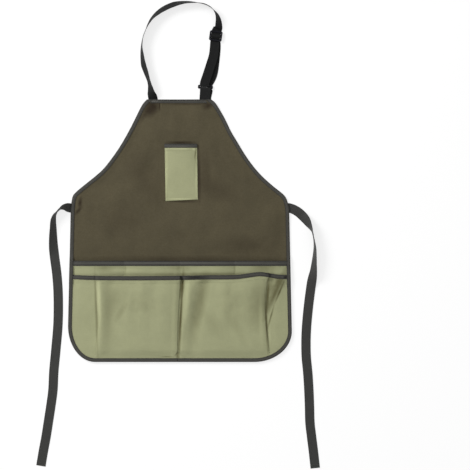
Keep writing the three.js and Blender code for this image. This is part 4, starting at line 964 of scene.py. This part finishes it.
def make_front_pocket():
    s = sizes()
    tape_end = s.front_tape + 0.002
    rows = []
    mouth = front_line(s.front_top, taped=True)
    for down in (s.tape + s.gap, tape_end):
        rows.append(np.stack([mouth[:, 0], front_mouth_y(mouth[:, 0]) - down, mouth[:, 1]], axis=1))
    start = s.front_top - tape_end - 0.006
    for share in np.linspace(0, 1, 20):
        y = float(mix(start, bend_y(), share))
        line = front_line(y)
        follow = 1 - float(ease(share, 0, 1))
        lifted = y + (front_mouth_y(line[:, 0]) - s.front_top) * follow
        rows.append(np.stack([line[:, 0], lifted, line[:, 1]], axis=1))
    for share in (0.15, 0.3, 0.45, 0.6, 0.72, 0.8, 0.88, 1):
        line = front_line(float(mix(bend_y(), -s.skirt_height, share)), flat=share > 0.85)
        down = mix(bend_y(), tucked_hem_y(line[:, 0]), share)
        rows.append(np.stack([line[:, 0], down, line[:, 1]], axis=1))
    build = Build()
    v = np.linspace(0, 1, len(rows[0]))
    normals = cloth_rows(build, rows, -np.array([row[:, 1].mean() for row in rows]), v)
    below = np.array(rows[2])
    normal = normals[2]
    for start_x, end_x in ((-0.221, -0.006), (0.014, 0.228)):
        part = (below[:, 0] > start_x) & (below[:, 0] < end_x) & (normal[:, 2] > 0.6)
        line = below[part] + normal[part] * (s.cloth / 2)
        line = line[np.argsort(line[:, 0])]
        build.stitches(line, (0, 0, 1))
    pocket = pocket_piece(build, "front_pocket_cloth")
    tape = mouth_tape("front_pocket_tape", rows[0], s.front_tape,
                      skip=((-0.232, -0.2), (-0.022, 0.03), (0.215, 0.24)))
    return pocket, tape


def breast_row(down, taped, shares):
    s = sizes()
    half = s.cloth / 2 + (s.gap + s.tape if taped else 0)
    fade = 1 - float(ease((down - s.breast_tape) / (s.breast_height * 0.8), 0, 1))
    lean = 0.0024 * (down / s.breast_height - 0.5)
    foot = 0.0022 * max(down / s.breast_height - 0.72, 0) / 0.28
    x = BREAST_X + lean + s.breast_width * (shares - 0.5)
    swell = SWELL * fade * (1 - np.abs(2 * shares - 1) ** 3)
    if not taped:
        inside = np.sin(math.pi * np.clip(shares, 0, 1)) ** 0.8
        swell = swell + 0.0011 * (0.5 + 0.5 * waves(x, down, 24.0, 40.0)) * inside
    y = s.breast_top - down + foot * (shares - 0.5) * 2
    return np.stack([x, y, s.cloth + s.gap + half + swell], axis=1)


# A turned hem as places in from its edge and heights over the cloth
HEM_RELIEF = ((0.02, 0.0001), (0.2, 0.00032), (0.5, 0.00042), (0.8, 0.00036), (1.0, 0.00002))


def turned_hem(build, edge, inner, run):
    """A hem's second layer between two lines, sewn down in two rows."""
    half = sizes().cloth / 2
    over = np.stack([mix(edge, inner, share) + (0, 0, half + high) for share, high in HEM_RELIEF], axis=1)
    build.sheet(over, over - (0, 0, 0.0004), run, np.array([share for share, _ in HEM_RELIEF]) * 0.1)
    for share, high in ((0.72, 0.0004), (0.2, 0.0003)):
        build.stitches(mix(edge, inner, share) + (0, 0, half + high), (0, 0, 1))


def make_breast_pocket():
    s = sizes()
    shares = np.unique(np.round(np.concatenate([np.linspace(0, 0.1, 6), np.linspace(0.1, 0.9, 27),
                                                np.linspace(0.9, 1, 6)]), 5))
    tape_end = s.breast_tape + 0.002
    downs = np.concatenate([np.linspace(tape_end + 0.004, s.breast_height - 0.007, 30),
                            np.linspace(s.breast_height - 0.006, s.breast_height, 5)])
    rows = [breast_row(s.tape + s.gap, True, shares), breast_row(tape_end, True, shares)]
    rows += [breast_row(float(down), False, shares) for down in downs]
    build = Build()
    cloth_rows(build, rows, [row[:, 1].mean() for row in rows], shares)
    hem_in = 0.0052
    for share, way in ((0, 1), (1, -1)):
        ends = np.array([share, share + way * hem_in / s.breast_width])
        side = np.array([breast_row(float(down), False, ends) for down in downs[:-3]])
        turned_hem(build, side[:, 0], side[:, 1], side[:, 0, 1])
    foot = np.linspace(0.02, 0.98, 30)
    low = breast_row(s.breast_height - 0.0008, False, foot)
    turned_hem(build, low, breast_row(s.breast_height - hem_in, False, foot), low[:, 0])
    pocket = pocket_piece(build, "breast_pocket_cloth")
    row = breast_row(s.tape + s.gap, True, np.linspace(0, 1, 48))
    tape = mouth_tape("breast_pocket_tape", row, s.breast_tape)
    return pocket, tape


def centripetal(points, station):
    """Place and direction on a centripetal curve, station k being the k-th point."""
    p = np.vstack([2 * points[0] - points[1], points, 2 * points[-1] - points[-2]])
    gap = np.sqrt(np.linalg.norm(np.diff(p, axis=0), axis=1))
    k = min(int(station), len(points) - 2)
    t = station - k
    p0, p1, p2, p3 = p[k:k + 4]
    d0, d1, d2 = gap[k:k + 3]
    start = ((p1 - p0) / d0 - (p2 - p0) / (d0 + d1) + (p2 - p1) / d1) * d1
    end = ((p2 - p1) / d1 - (p3 - p1) / (d1 + d2) + (p3 - p2) / d2) * d1
    square = 3 * (p2 - p1) - 2 * start - end
    cube = 2 * (p1 - p2) + start + end
    return p1 + start * t + square * t**2 + cube * t**3, start + 2 * square * t + 3 * cube * t**2


# Half section of webbing: place across as a share of half the width, half thickness as a share
WOVEN_EDGE = (
    (1, 0.3), (0.985, 0.72), (0.95, 1), (0.9, 1), (0.86, 0.86), (0.6, 0.9), (0.3, 0.9), (0, 0.9),
)


def ribbon(build, route, width, thickness, step=0.004):
    """Flat webbing along a route of (x, y, z or None, roll, heading or None). None lies on the surface."""
    half = [(-a, t) for a, t in WOVEN_EDGE] + [(a, t) for a, t in WOVEN_EDGE[-2::-1]]

    def rest(roll):
        angle = math.radians(abs(roll))
        return (math.sin(angle) * width + math.cos(angle) * thickness) / 2

    points = np.array([(x, y, rest(roll) if z is None else z) for x, y, z, roll, _ in route])
    stations = []
    for k in range(len(points) - 1):
        steps = int(np.clip(round(np.linalg.norm(points[k + 1] - points[k]) / step), 2, 18))
        stations += [k + i / steps for i in range(steps)]
    stations.append(len(points) - 1)
    across = np.zeros(3)
    rings, middle = [], []
    for station in stations:
        k = min(int(station), len(points) - 2)
        first, second = route[k], route[k + 1]
        share = station - k
        turned = mix(first[3], second[3], share)
        centre, along = centripetal(points, station)
        along = along / np.linalg.norm(along)
        held = first[4] is not None and second[4] is not None
        if first[2] is None or second[2] is None:
            start = rest(turned) if first[2] is None else first[2]
            end = rest(turned) if second[2] is None else second[2]
            centre[2] = mix(start, end, share)
        heading = math.radians(mix(first[4], second[4], share)) if held else math.atan2(along[0], along[1])
        level = np.array([math.cos(heading), -math.sin(heading), 0])
        if level @ across < 0:
            level = -level
        across = level
        roll = math.radians(turned)
        wide = level * math.cos(roll)
        wide[2] = math.sin(roll)
        if not held:
            wide = wide - along * (wide @ along)
            wide /= np.linalg.norm(wide)
        thick = np.cross(along, wide)
        thick /= np.linalg.norm(thick)
        upper = [centre + wide * a * width / 2 + thick * t * thickness / 2 for a, t in half]
        lower = [centre + wide * a * width / 2 - thick * t * thickness / 2 for a, t in half]
        rings.append(upper + lower[::-1])
        middle.append((centre, wide, thick))
    v = np.array([(a + 1) / 2 for a, _ in half])
    centres = np.array([m[0] for m in middle])
    build.tube(np.array(rings), run_length(centres), np.concatenate([v, v[::-1]]))
    return middle


def neck_place(across, up):
    s = sizes()
    return s.bib_shift - s.bib_width / 2 + across * s.bib_width, s.bib_height + up * NECK_RISE


def tilted(centre, tilt, along, across):
    angle = math.radians(tilt)
    return (centre[0] + math.sin(angle) * along + math.cos(angle) * across,
            centre[1] + math.cos(angle) * along - math.sin(angle) * across)


# The slider and the ring: outer size, slots, bars, tilt in degrees and the rounding of their edges. The ring
# also has its rise over the bib and the shift of the webbing's layers at its bars and above them.
SLIDER = {"wide": 0.034, "high": 0.027, "thick": 0.0032, "bar": 0.0044, "tilt": 8, "side_room": 0.0002}
RING = {"wide": 0.040, "slot_wide": 0.0287, "slot": 0.0038, "bar": 0.0032, "tilt": 3, "rise": 0.033,
        "turn": 0.0015, "drift": 0.0028, "back_drift": 0.00448}
ROUNDING = 0.0013
# The tab's lower layer: its shift to the right at the ring and at the bib
TAB_SHIFT = (0.005, 0.003)


def ring_centre():
    return TAB_X + RING["rise"] * math.tan(math.radians(RING["tilt"])), sizes().bib_height + RING["rise"]


def at_ring(along, across=0.0):
    return tilted(ring_centre(), RING["tilt"], along, across)


def at_slider(along):
    return tilted(neck_place(*SLIDER_PLACE), SLIDER["tilt"], along, 0.0)


def beyond_bar():
    """From the ring's middle to a bar's width past its bars."""
    return (RING["slot"] + RING["bar"]) / 2 + RING["bar"]


def bar_turn():
    s = sizes()
    return RING["bar"] / 2 + s.gap * 2 + s.webbing / 2


def ring_z():
    return sizes().webbing / 2 + bar_turn()


def slider_levels():
    """Height of the slider's middle and how far the webbing rises and sinks round its middle bar."""
    s = sizes()
    weave = SLIDER["thick"] / 2 + s.gap * 2 + s.webbing / 2
    return 2 * s.webbing + s.gap * 2 + weave, weave


def level_stop(place, z, heading=None):
    """A stop of a route where the webbing lies level."""
    return (*place, z, 0, heading)


def round_bar(way, start, end):
    """Half a turn of webbing round a bar of the ring: way -1 the upper bar, 1 the lower one."""
    stops = []
    offset = (RING["slot"] + RING["bar"]) / 2
    for step in range(7):
        angle = step * math.pi / 6
        along = -way * offset + way * bar_turn() * math.sin(angle)
        place = at_ring(along, mix(start, end, step / 6))
        stops.append(level_stop(place, ring_z() + bar_turn() * math.cos(angle), RING["tilt"]))
    return stops


def make_neck_strap():
    s = sizes()
    slider_z, weave = slider_levels()
    bar, edge = SLIDER["bar"], SLIDER["high"] / 2
    slot = edge - bar - (SLIDER["high"] - 3 * bar) / 4
    woven = [(edge + 0.002, -1), (edge - bar + 0.001, -1), (slot, 0), (bar / 4, 1)]
    woven += [(-along, level) for along, level in woven[::-1]]
    low, high = s.webbing / 2, ring_z() + bar_turn()
    route = [(STRAP_X, s.bib_height + rise, None, 0, None) for rise in (-s.sewn, -s.sewn / 2, 0.002)]
    route += [(*neck_place(across, up), None, roll, None) for across, up, roll in NECK_ROUTE]
    for along, level in woven:
        route.append(level_stop(at_slider(along), slider_z + level * weave, SLIDER["tilt"]))
    for i, place in enumerate(FRONT_LAYER, 1):
        z = mix(slider_z - weave, high, i / (len(FRONT_LAYER) + 1))
        route.append(level_stop(neck_place(*place), z))
    route.append(level_stop(at_ring(beyond_bar(), -RING["drift"]), high))
    route += round_bar(-1, -RING["turn"], RING["turn"])
    route.append(level_stop(at_ring(beyond_bar(), RING["back_drift"]), low))
    route += [level_stop(neck_place(*place), low) for place in BACK_LAYER]
    route += [level_stop(at_slider(along), low) for along in (bar - edge, 0)]
    build = Build()
    ribbon(build, route, s.webbing_width, s.webbing, step=0.003)
    return build.piece("neck_webbing", [finish("Black webbing")])


def make_ring_tab():
    s = sizes()
    top, lead = s.bib_height, -beyond_bar()
    low, high = s.webbing / 2, ring_z() + bar_turn()
    sewn = low + s.webbing + s.gap
    shift_ring, shift_bib = TAB_SHIFT
    route = [level_stop((TAB_X, top + rise), sewn) for rise in (-s.sewn, -s.sewn / 2, 0.003)]
    route += [level_stop(at_ring(lead - 0.008), mix(sewn, high, 0.6)), level_stop(at_ring(lead), high)]
    route += round_bar(1, 0, 0)
    route.append(level_stop(at_ring(lead, shift_ring), low, RING["tilt"]))
    route += [level_stop((TAB_X + shift_bib, top + rise), low, 0) for rise in (0.003, -s.sewn / 2, -s.sewn)]
    build = Build()
    ribbon(build, route, s.tab_width, s.webbing, step=0.002)
    return build.piece("ring_tab_webbing", [finish("Smooth webbing")])


def make_tie(name, table, side, drop, spread):
    s = sizes()
    edge = float(side_x(TIE_Y, side))
    route = [(edge - side * s.sewn, TIE_Y, None, 0, None), (edge, TIE_Y, None, 0, None)]
    route += [(edge + side * across * spread, TIE_Y - down * drop, None, -side * roll, None)
              for across, down, roll in table]
    build = Build()
    middle = ribbon(build, route, s.webbing_width, s.tie)
    last, wide, thick = middle[-1]
    back = middle[-4][0]
    along = (last - back) / np.linalg.norm(last - back)
    up = thick if thick[2] > 0 else -thick
    hem = np.array([last - along * 0.009 + wide * a for a in np.linspace(-0.0105, 0.0105, 12)])
    build.stitches(hem + up * s.tie * 0.47, up)
    return build.piece(name, [finish("Grey tie tape"), finish("Sewing thread")])


def rounded_loop(wide, high, radius, y=0.0, steps=7):
    points = []
    for corner_x, corner_y, start in ((1, -1, -90), (1, 1, 0), (-1, 1, 90), (-1, -1, 180)):
        for angle in np.radians(np.linspace(start, start + 90, steps)):
            points.append((corner_x * (wide / 2 - radius) + radius * math.cos(angle),
                           y + corner_y * (high / 2 - radius) + radius * math.sin(angle)))
    return points


def moulded(name, loops, thick, centre, z, tilt):
    """A plastic frame through its outline and slots, rounded all round."""
    curve = bpy.data.curves.new(name, "CURVE")
    curve.dimensions = "2D"
    curve.fill_mode = "BOTH"
    curve.bevel_depth = ROUNDING
    curve.bevel_resolution = 4
    curve.extrude = thick / 2 - ROUNDING
    curve.offset = -ROUNDING
    for loop in loops:
        line = curve.splines.new("POLY")
        line.points.add(len(loop) - 1)
        for point, (x, y) in zip(line.points, loop):
            point.co = (x, y, 0, 1)
        line.use_cyclic_u = True
    drawn = bpy.data.objects.new(name + "_outline", curve)
    bpy.context.scene.collection.objects.link(drawn)
    bpy.context.view_layer.update()
    mesh = bpy.data.meshes.new_from_object(drawn.evaluated_get(bpy.context.evaluated_depsgraph_get()))
    bpy.data.objects.remove(drawn)
    mesh.name = name
    mesh.transform(Matrix.Translation((*centre, z)) @ Matrix.Rotation(-math.radians(tilt), 4, "Z"))
    mesh.materials.clear()
    mesh.materials.append(finish("Black plastic"))
    mesh.shade_smooth()
    mesh.set_sharp_from_angle(angle=math.radians(40))
    piece = bpy.data.objects.new(name, mesh)
    bpy.context.scene.collection.objects.link(piece)
    return piece


def make_slider():
    slot_high = (SLIDER["high"] - 3 * SLIDER["bar"]) / 2
    slot_y = (SLIDER["bar"] + slot_high) / 2
    slot_wide = sizes().webbing_width + SLIDER["side_room"]
    loops = [rounded_loop(SLIDER["wide"], SLIDER["high"], 0.004)]
    loops += [rounded_loop(slot_wide, slot_high, 0.001, y)[::-1] for y in (slot_y, -slot_y)]
    return moulded("plastic_slider", loops, SLIDER["thick"], neck_place(*SLIDER_PLACE), slider_levels()[0],
                   SLIDER["tilt"])


def make_ring():
    high = RING["slot"] + 2 * RING["bar"]
    loops = [rounded_loop(RING["wide"], high, 0.003),
             rounded_loop(RING["slot_wide"], RING["slot"], RING["slot"] * 0.49)[::-1]]
    return moulded("plastic_ring", loops, RING["bar"], ring_centre(), ring_z(), RING["tilt"])


# Painted shade, and painted highlight where the depth is below zero, where the cloth lies in its own folds
# and beside its pockets and tapes: middle across and along, half width, half length, lean in degrees and
# depth
CANVAS_SHADES = (
    (-0.072, 0.244, 0.022, 0.022, 20, 1), (-0.08, 0.232, 0.018, 0.02, 30, 0.9),
    (-0.095, 0.22, 0.008, 0.03, 35, 0.5), (-0.0545, 0.246, 0.0018, 0.014, 0, 1),
    (-0.05, 0.247, 0.0022, 0.012, 0, -0.5), (0.074, 0.245, 0.018, 0.012, -20, 0.9),
    (0.02, 0.249, 0.08, 0.0035, 0, 0.5), (-0.2655, -0.013, 0.0065, 0.018, 8, 0.95),
    (-0.27, -0.034, 0.006, 0.016, 42, 0.85), (0.0505, 0.063, 0.0055, 0.082, -1, 0.75),
    (0.004, -0.0085, 0.048, 0.0045, 2, 0.7), (0.002, 0.1475, 0.042, 0.005, 0, 0.85),
    (0.063, 0.06, 0.02, 0.075, 0, 0.35), (0.105, 0.02, 0.06, 0.03, 30, 0.3),
    (-0.1, 0.06, 0.04, 0.09, -30, 0.25), (0.175, -0.125, 0.08, 0.03, 0, 0.3),
    (0, -0.162, 0.29, 0.01, 0, 0.4), (-0.16, -0.06, 0.06, 0.05, 0, 0.2),
)
SAGE_SHADES = (
    (-0.19, -0.3, 0.02, 0.11, 3, 0.15), (-0.168, -0.27, 0.03, 0.045, 20, 0.14),
    (-0.1556, -0.303, 0.009, 0.032, 33, 0.22), (0.058, -0.262, 0.018, 0.085, 11, 0.42),
    (0.044, -0.315, 0.018, 0.075, 8, 0.24), (0.207, -0.285, 0.026, 0.07, 4, 0.32),
    (0.2535, -0.252, 0.01, 0.08, 24, 0.8), (0.262, -0.222, 0.02, 0.016, 30, 0.7),
    (0.235, -0.25, 0.012, 0.06, 10, 0.45), (0.25, -0.236, 0.014, 0.028, 10, 0.45),
    (0.002, -0.32, 0.0048, 0.135, 3, 1), (0.006, -0.232, 0.0075, 0.04, 6, 1),
    (-0.2225, -0.305, 0.004, 0.13, -2, 0.5), (0.23, -0.335, 0.0042, 0.09, -3, 0.85),
    (-0.2, -0.186, 0.028, 0.014, 0, 0.34), (0.222, -0.186, 0.04, 0.018, 0, 0.42),
    (0, -0.2035, 0.3, 0.006, 0, 0.35), (0.1, -0.2035, 0.18, 0.007, 0, 0.3),
    (0.15, -0.345, 0.014, 0.06, -30, 0.14), (0, -0.1865, 0.03, 0.014, 0, 0.3),
    (0.085, -0.33, 0.05, 0.02, 60, 0.16), (0.2655, -0.248, 0.0034, 0.038, 23, 1),
    (0.242, -0.314, 0.003, 0.036, 15, 0.8), (0.2335, -0.256, 0.0042, 0.055, 3, 0.95),
    (0.0405, 0.112, 0.0013, 0.03, 0, 0.55), (-0.033, -0.4222, 0.018, 0.0014, 0, 0.8),
    (-0.0075, -0.418, 0.004, 0.014, 0, 0.7), (-0.214, -0.27, 0.006, 0.07, -2, -0.56),
    (-0.016, -0.3, 0.0075, 0.12, 2, -0.35), (0.019, -0.27, 0.007, 0.07, 4, -0.42),
    (0.216, -0.33, 0.007, 0.07, -2, -0.32), (0.238, -0.37, 0.005, 0.04, 0, -0.35),
    (0.25, -0.222, 0.006, 0.012, 20, -0.35), (0.037, 0.13, 0.0055, 0.005, 30, -1),
    (0.041, 0.118, 0.0022, 0.016, 10, 0.8), (-0.036, 0.065, 0.003, 0.08, 0, -1),
    (0.044, 0.06, 0.0026, 0.07, 0, -1), (0.004, -0.003, 0.044, 0.003, 0, -1),
    (0.003, 0.131, 0.042, 0.003, 0, -0.9), (-0.15, -0.192, 0.05, 0.006, 0, -0.24),
    (0.07, -0.188, 0.04, 0.01, 0, -0.28), (-0.105, -0.3, 0.016, 0.08, -6, -0.17),
    (0.11, -0.27, 0.03, 0.06, 20, -0.17), (-0.1, -0.28, 0.05, 0.03, 20, 0.12),
    (0.14, -0.28, 0.06, 0.07, 0, 0.12), (-0.145, -0.1865, 0.003, 0.02, 0, 0.35),
    (0.145, -0.1865, 0.003, 0.02, 0, 0.35), (0.034, 0.142, 0.006, 0.008, 40, 0.4),
    (0.003, 0.128, 0.05, 0.006, 0, 0.12),
)


def brown_canvas():
    c = colours()

    def build(t):
        at = t.place()
        height, yarn = t.effect(weave_effect, Vector=at, Threads=260.0)
        tone, grain = t.effect(mottle_effect, Vector=at, Broad=13.0)
        base = t.tinted(tone, rgba(c.canvas, 0.74), rgba(c.canvas, 1.24))
        base = t.tinted(t.times(yarn, 0.36), base, rgba(c.canvas, 1.6))
        base = t.tinted(t.times(grain, 0.3), base, rgba(c.canvas, 0.45))
        # Painted shade and painted highlights in the canvas's folds and beside its pockets and tapes
        base = shaded(t, at, base, CANVAS_SHADES, rgba(c.canvas_painted_shade), rgba(c.canvas, 1.5))
        roughness = t.level(grain, 0.0, 1.0, 0.78, 0.95)
        return base, roughness, height, 0.00035
    return new_material("Brown canvas", build, sheen=0.06)


def sage_cloth():
    c = colours()

    def build(t):
        at = t.place()
        height, yarn = t.effect(weave_effect, Vector=at, Threads=300.0)
        tone, grain = t.effect(mottle_effect, Vector=at, Broad=17.0)
        base = t.tinted(tone, rgba(c.sage, 0.92), rgba(c.sage, 1.14))
        base = t.tinted(t.times(yarn, 0.2), base, rgba(c.sage, 1.22))
        base = t.tinted(t.times(grain, 0.1), base, rgba(c.sage_shade_and_grain))
        # Painted shade and painted highlights in the pockets' folds and pleats and along their sewn edges
        base = shaded(t, at, base, SAGE_SHADES, rgba(c.sage_shade_and_grain), rgba(c.sage, 1.48))
        roughness = t.level(grain, 0.0, 1.0, 0.8, 0.95)
        return base, roughness, height, 0.0003
    return new_material("Sage pocket cloth", build, sheen=0.05)


# Painted shade and painted highlight at folded, hidden and pressed places of the edge tape
TAPE_SHADES = (
    (0.042, -0.21, 0.034, 0.012, 0, 1), (0.0021, -0.2125, 0.0038, 0.008, 0, 1),
    (-0.2253, -0.2095, 0.0018, 0.007, 0, 1), (0.28, -0.211, 0.0055, 0.008, 30, 1),
    (-0.0066, -0.429, 0.0024, 0.008, 0, 1), (0.235, -0.202, 0.014, 0.004, 10, 0.5),
    (0, -0.1672, 0.3, 0.0024, 0, 1), (0.003, 0.1436, 0.046, 0.0024, 0, 1), (0, 0.26, 0.1, 0.003, 0, 0.9),
    (-0.074, 0.257, 0.014, 0.004, 0, 0.5), (-0.279, -0.023, 0.005, 0.02, 0, 0.6),
    (0, -0.1728, 0.29, 0.0028, 0, -0.8), (0.003, 0.137, 0.04, 0.0018, 0, -1),
    (-0.07, 0.258, 0.012, 0.0035, 0, -0.6),
)


def woven_finish(name, low, light, picks, cords, gloss=0.75, bump=0.0003, ridge=False, sheen=0.08):
    def build(t):
        at = t.place()
        along = t.add("ShaderNodeUVMap", uv_map="run")
        height, selvedge, pick = t.effect(ribs_effect, Run=along, Picks=picks, Cords=cords)
        tone, grain = t.effect(mottle_effect, Vector=at, Broad=30.0, Fine=400.0)
        base = t.tinted(t.times(tone, 0.6), rgba(low, 0.85), rgba(low, 1.2))
        if ridge:
            # A painted highlight along the tape's raised middle, varied with the random tone, then the
            # painted shade and highlights of TAPE_SHADES
            raised = t.level(t.from_middle(along), 0.08, 0.26, 1.0, 0.0)
            base = t.tinted(t.times(raised, t.level(tone, 0.0, 1.0, 0.45, 0.9)), base, rgba(light))
            base = shaded(t, at, base, TAPE_SHADES, rgba(low, 0.12), rgba(light, 1.5))
        base = t.tinted(t.times(pick, 0.3), base, rgba(light, 1.05))
        # Darker along both edges: the denser selvedges, with painted shade where the tape's edges turn away
        base = t.tinted(t.times(selvedge, 0.6), base, rgba(low, 0.45))
        roughness = t.level(grain, 0.0, 1.0, gloss - 0.08, gloss + 0.08)
        return base, roughness, height, bump
    return new_material(name, build, sheen=sheen)


def thread_finish(name, colour):
    def build(t):
        tone, grain = t.effect(mottle_effect, Vector=t.place(), Broad=300.0, Fine=1800.0)
        base = t.tinted(grain, rgba(colour, 0.75), rgba(colour, 1.25))
        return base, t.level(tone, 0.0, 1.0, 0.5, 0.7), grain, 0.0001
    return new_material(name, build, sheen=0.1)


def black_plastic():
    c = colours()

    def build(t):
        at = t.place()
        tone, grain = t.effect(mottle_effect, Vector=at, Broad=90.0, Fine=1500.0)
        scuffed = t.level(tone, 0.55, 0.95)
        base = t.tinted(t.times(scuffed, 0.5), rgba(c.plastic), rgba(c.plastic, 2.4))
        return base, t.level(tone, 0.0, 1.0, 0.4, 0.55), grain, 0.00004
    return new_material("Black plastic", build, specular=0.2)


def finish(name):
    """The material of that name, made on its first use."""
    c = colours()

    def times(colour, factor):
        return [min(value * factor, 1) for value in colour]

    made = {
        "Brown canvas": brown_canvas,
        "Sage pocket cloth": sage_cloth,
        "Grey edge tape": lambda: woven_finish(name, c.edge, c.edge_highlight_and_picks, 330.0, 3.0, ridge=True),
        "Grey tie tape": lambda: woven_finish(name, c.ties, times(c.ties, 1.7), 240.0, 3.6, bump=0.00045),
        "Black webbing": lambda: woven_finish(name, c.webbing, times(c.webbing, 3), 200.0, 3.0, bump=0.0005,
                                              sheen=0.0),
        "Smooth webbing": lambda: woven_finish(name, times(c.webbing, 1.6), times(c.webbing, 3), 320.0, 3.0,
                                               0.6, 0.0002, sheen=0.0),
        "Sewing thread": lambda: thread_finish(name, c.thread),
        "Light thread": lambda: thread_finish(name, times(c.thread, 2.4)),
        "Sage thread": lambda: thread_finish(name, times(c.sage, 0.95)),
        "Black plastic": black_plastic,
    }
    return bpy.data.materials.get(name) or made[name]()


# The view is from straight above this place, from this height, and this much shows across it
VIEW_X, VIEW_Y, VIEW_WIDTH = 0.1463, -0.0984, 1.2502
CAMERA_HEIGHT = 6.0
# Lamps as name, place, size and power, and the brightness of the surrounding white
LAMPS = (
    ("key", (-2.3, 1.7, 1.9), 1.4, 88),
    ("fill", (1.6, -1.2, 3.2), 2.6, 12),
)
LAMPS_AIM = (0.05, -0.05, 0)
WORLD_STRENGTH = 0.46


def make_stage():
    scene = bpy.context.scene
    bpy.ops.mesh.primitive_plane_add(size=14, location=(VIEW_X, VIEW_Y, -0.0002))
    floor = bpy.context.object
    floor.name = "floor"

    def build(t):
        grain = t.noise(t.place(), 700.0, 2.0)
        base = t.tinted(grain, rgba(colours().floor, 0.42), rgba(colours().floor, 0.44))
        return base, t.level(grain, 0.0, 1.0, 0.85, 0.95), grain, 0.00002

    floor.data.materials.append(new_material("Pale floor", build, specular=0.1, glow=0.7))

    camera = bpy.data.objects.new("camera", bpy.data.cameras.new("camera"))
    scene.collection.objects.link(camera)
    camera.location = (VIEW_X, VIEW_Y, CAMERA_HEIGHT)
    camera.data.sensor_width = 36
    camera.data.lens = 36 * CAMERA_HEIGHT / VIEW_WIDTH
    camera.data.clip_end = 50
    scene.camera = camera

    for name, place, size, power in LAMPS:
        lamp = bpy.data.objects.new(name, bpy.data.lights.new(name, "AREA"))
        lamp.data.size = size
        lamp.data.energy = power
        lamp.location = place
        lamp.rotation_euler = (Vector(LAMPS_AIM) - Vector(place)).to_track_quat("-Z", "Y").to_euler()
        scene.collection.objects.link(lamp)
    world = bpy.data.worlds.new("studio")
    scene.world = world
    world.use_nodes = True
    background = world.node_tree.nodes["Background"]
    background.inputs["Color"].default_value = (1, 1, 1, 1)
    background.inputs["Strength"].default_value = WORLD_STRENGTH
    scene.view_settings.view_transform = "Standard"


def dress(piece, node):
    """A finished piece takes its CAD node's place on the apron."""
    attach(piece, "root")
    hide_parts(node)
    return piece


class APRON_OT_stage(bpy.types.Operator):
    """Adds the pale floor, the soft lights and the camera straight above"""
    bl_idname = "apron.stage"
    bl_label = "Stage"

    def execute(self, context):
        make_stage()
        return {"FINISHED"}


class APRON_OT_panel(bpy.types.Operator):
    """Makes the canvas bib and skirt with the grey tape folded round all its edges"""
    bl_idname = "apron.panel"
    bl_label = "Panel and edge tape"

    def execute(self, context):
        panel = dress(make_panel(), "body_panel")
        top = dress(make_top_binding(), "top_binding")
        side = dress(make_side_binding(), "side_binding")
        return {"FINISHED"}


class APRON_OT_skirt_pockets(bpy.types.Operator):
    """Makes the stitched rear pocket and the pleated front pocket with their bound mouths"""
    bl_idname = "apron.skirt_pockets"
    bl_label = "Skirt pockets"

    def execute(self, context):
        rear, rear_tape = make_rear_pocket()
        dress(rear, "rear_pocket")
        dress(rear_tape, "rear_pocket_binding")
        front, front_tape = make_front_pocket()
        dress(front, "front_pocket")
        dress(front_tape, "front_pocket_binding")
        return {"FINISHED"}


class APRON_OT_breast_pocket(bpy.types.Operator):
    """Makes the breast pocket with its bound mouth and turned edges"""
    bl_idname = "apron.breast_pocket"
    bl_label = "Breast pocket"

    def execute(self, context):
        pocket, tape = make_breast_pocket()
        dress(pocket, "breast_pocket")
        dress(tape, "breast_pocket_binding")
        return {"FINISHED"}


class APRON_OT_neck_strap(bpy.types.Operator):
    """Makes the twisting neck strap, its tab and the moulded slider and ring"""
    bl_idname = "apron.neck_strap"
    bl_label = "Neck strap"

    def execute(self, context):
        strap = dress(make_neck_strap(), "neck_strap")
        tab = dress(make_ring_tab(), "ring_tab")
        slider = dress(make_slider(), "strap_slider")
        ring = dress(make_ring(), "strap_ring")
        return {"FINISHED"}


class APRON_OT_waist_ties(bpy.types.Operator):
    """Makes the two woven tape ties, each lying from the waist down beside the skirt"""
    bl_idname = "apron.waist_ties"
    bl_label = "Waist ties"

    def execute(self, context):
        for name, node, table, side, drop, spread in (
            ("left_tie", "waist_tie_left", TIE_ROUTE_LEFT, -1, 0.686, 0.090),
            ("right_tie", "waist_tie_right", TIE_ROUTE_RIGHT, 1, 0.692, 0.072),
        ):
            tie = dress(make_tie(name, table, side, drop, spread), node)
        return {"FINISHED"}


class APRON_PT_sidebar(bpy.types.Panel):
    bl_idname = "APRON_PT_sidebar"
    bl_label = "Gardening apron"
    bl_space_type = "VIEW_3D"
    bl_region_type = "UI"
    bl_category = "Apron"

    def draw(self, context):
        layout = self.layout
        for operator in OPERATORS:
            layout.operator(operator.bl_idname)
        for title, group in (("Sizes", context.scene.apron_sizes), ("Colours", context.scene.apron_colours)):
            box = layout.box()
            box.label(text=title)
            for name in group.__annotations__:
                box.prop(group, name)


OPERATORS = (APRON_OT_stage, APRON_OT_panel, APRON_OT_skirt_pockets, APRON_OT_breast_pocket,
             APRON_OT_neck_strap, APRON_OT_waist_ties)
CLASSES = (ApronSizes, ApronColours, *OPERATORS, APRON_PT_sidebar)


def register():
    for cls in CLASSES:
        bpy.utils.register_class(cls)
    bpy.types.Scene.apron_sizes = PointerProperty(type=ApronSizes)
    bpy.types.Scene.apron_colours = PointerProperty(type=ApronColours)


def unregister():
    del bpy.types.Scene.apron_colours
    del bpy.types.Scene.apron_sizes
    for cls in reversed(CLASSES):
        bpy.utils.unregister_class(cls)


def main():
    register()
    bpy.ops.apron.stage()
    bpy.ops.apron.panel()
    bpy.ops.apron.skirt_pockets()
    bpy.ops.apron.breast_pocket()
    bpy.ops.apron.neck_strap()
    bpy.ops.apron.waist_ties()


if __name__ == "__main__":
    main()
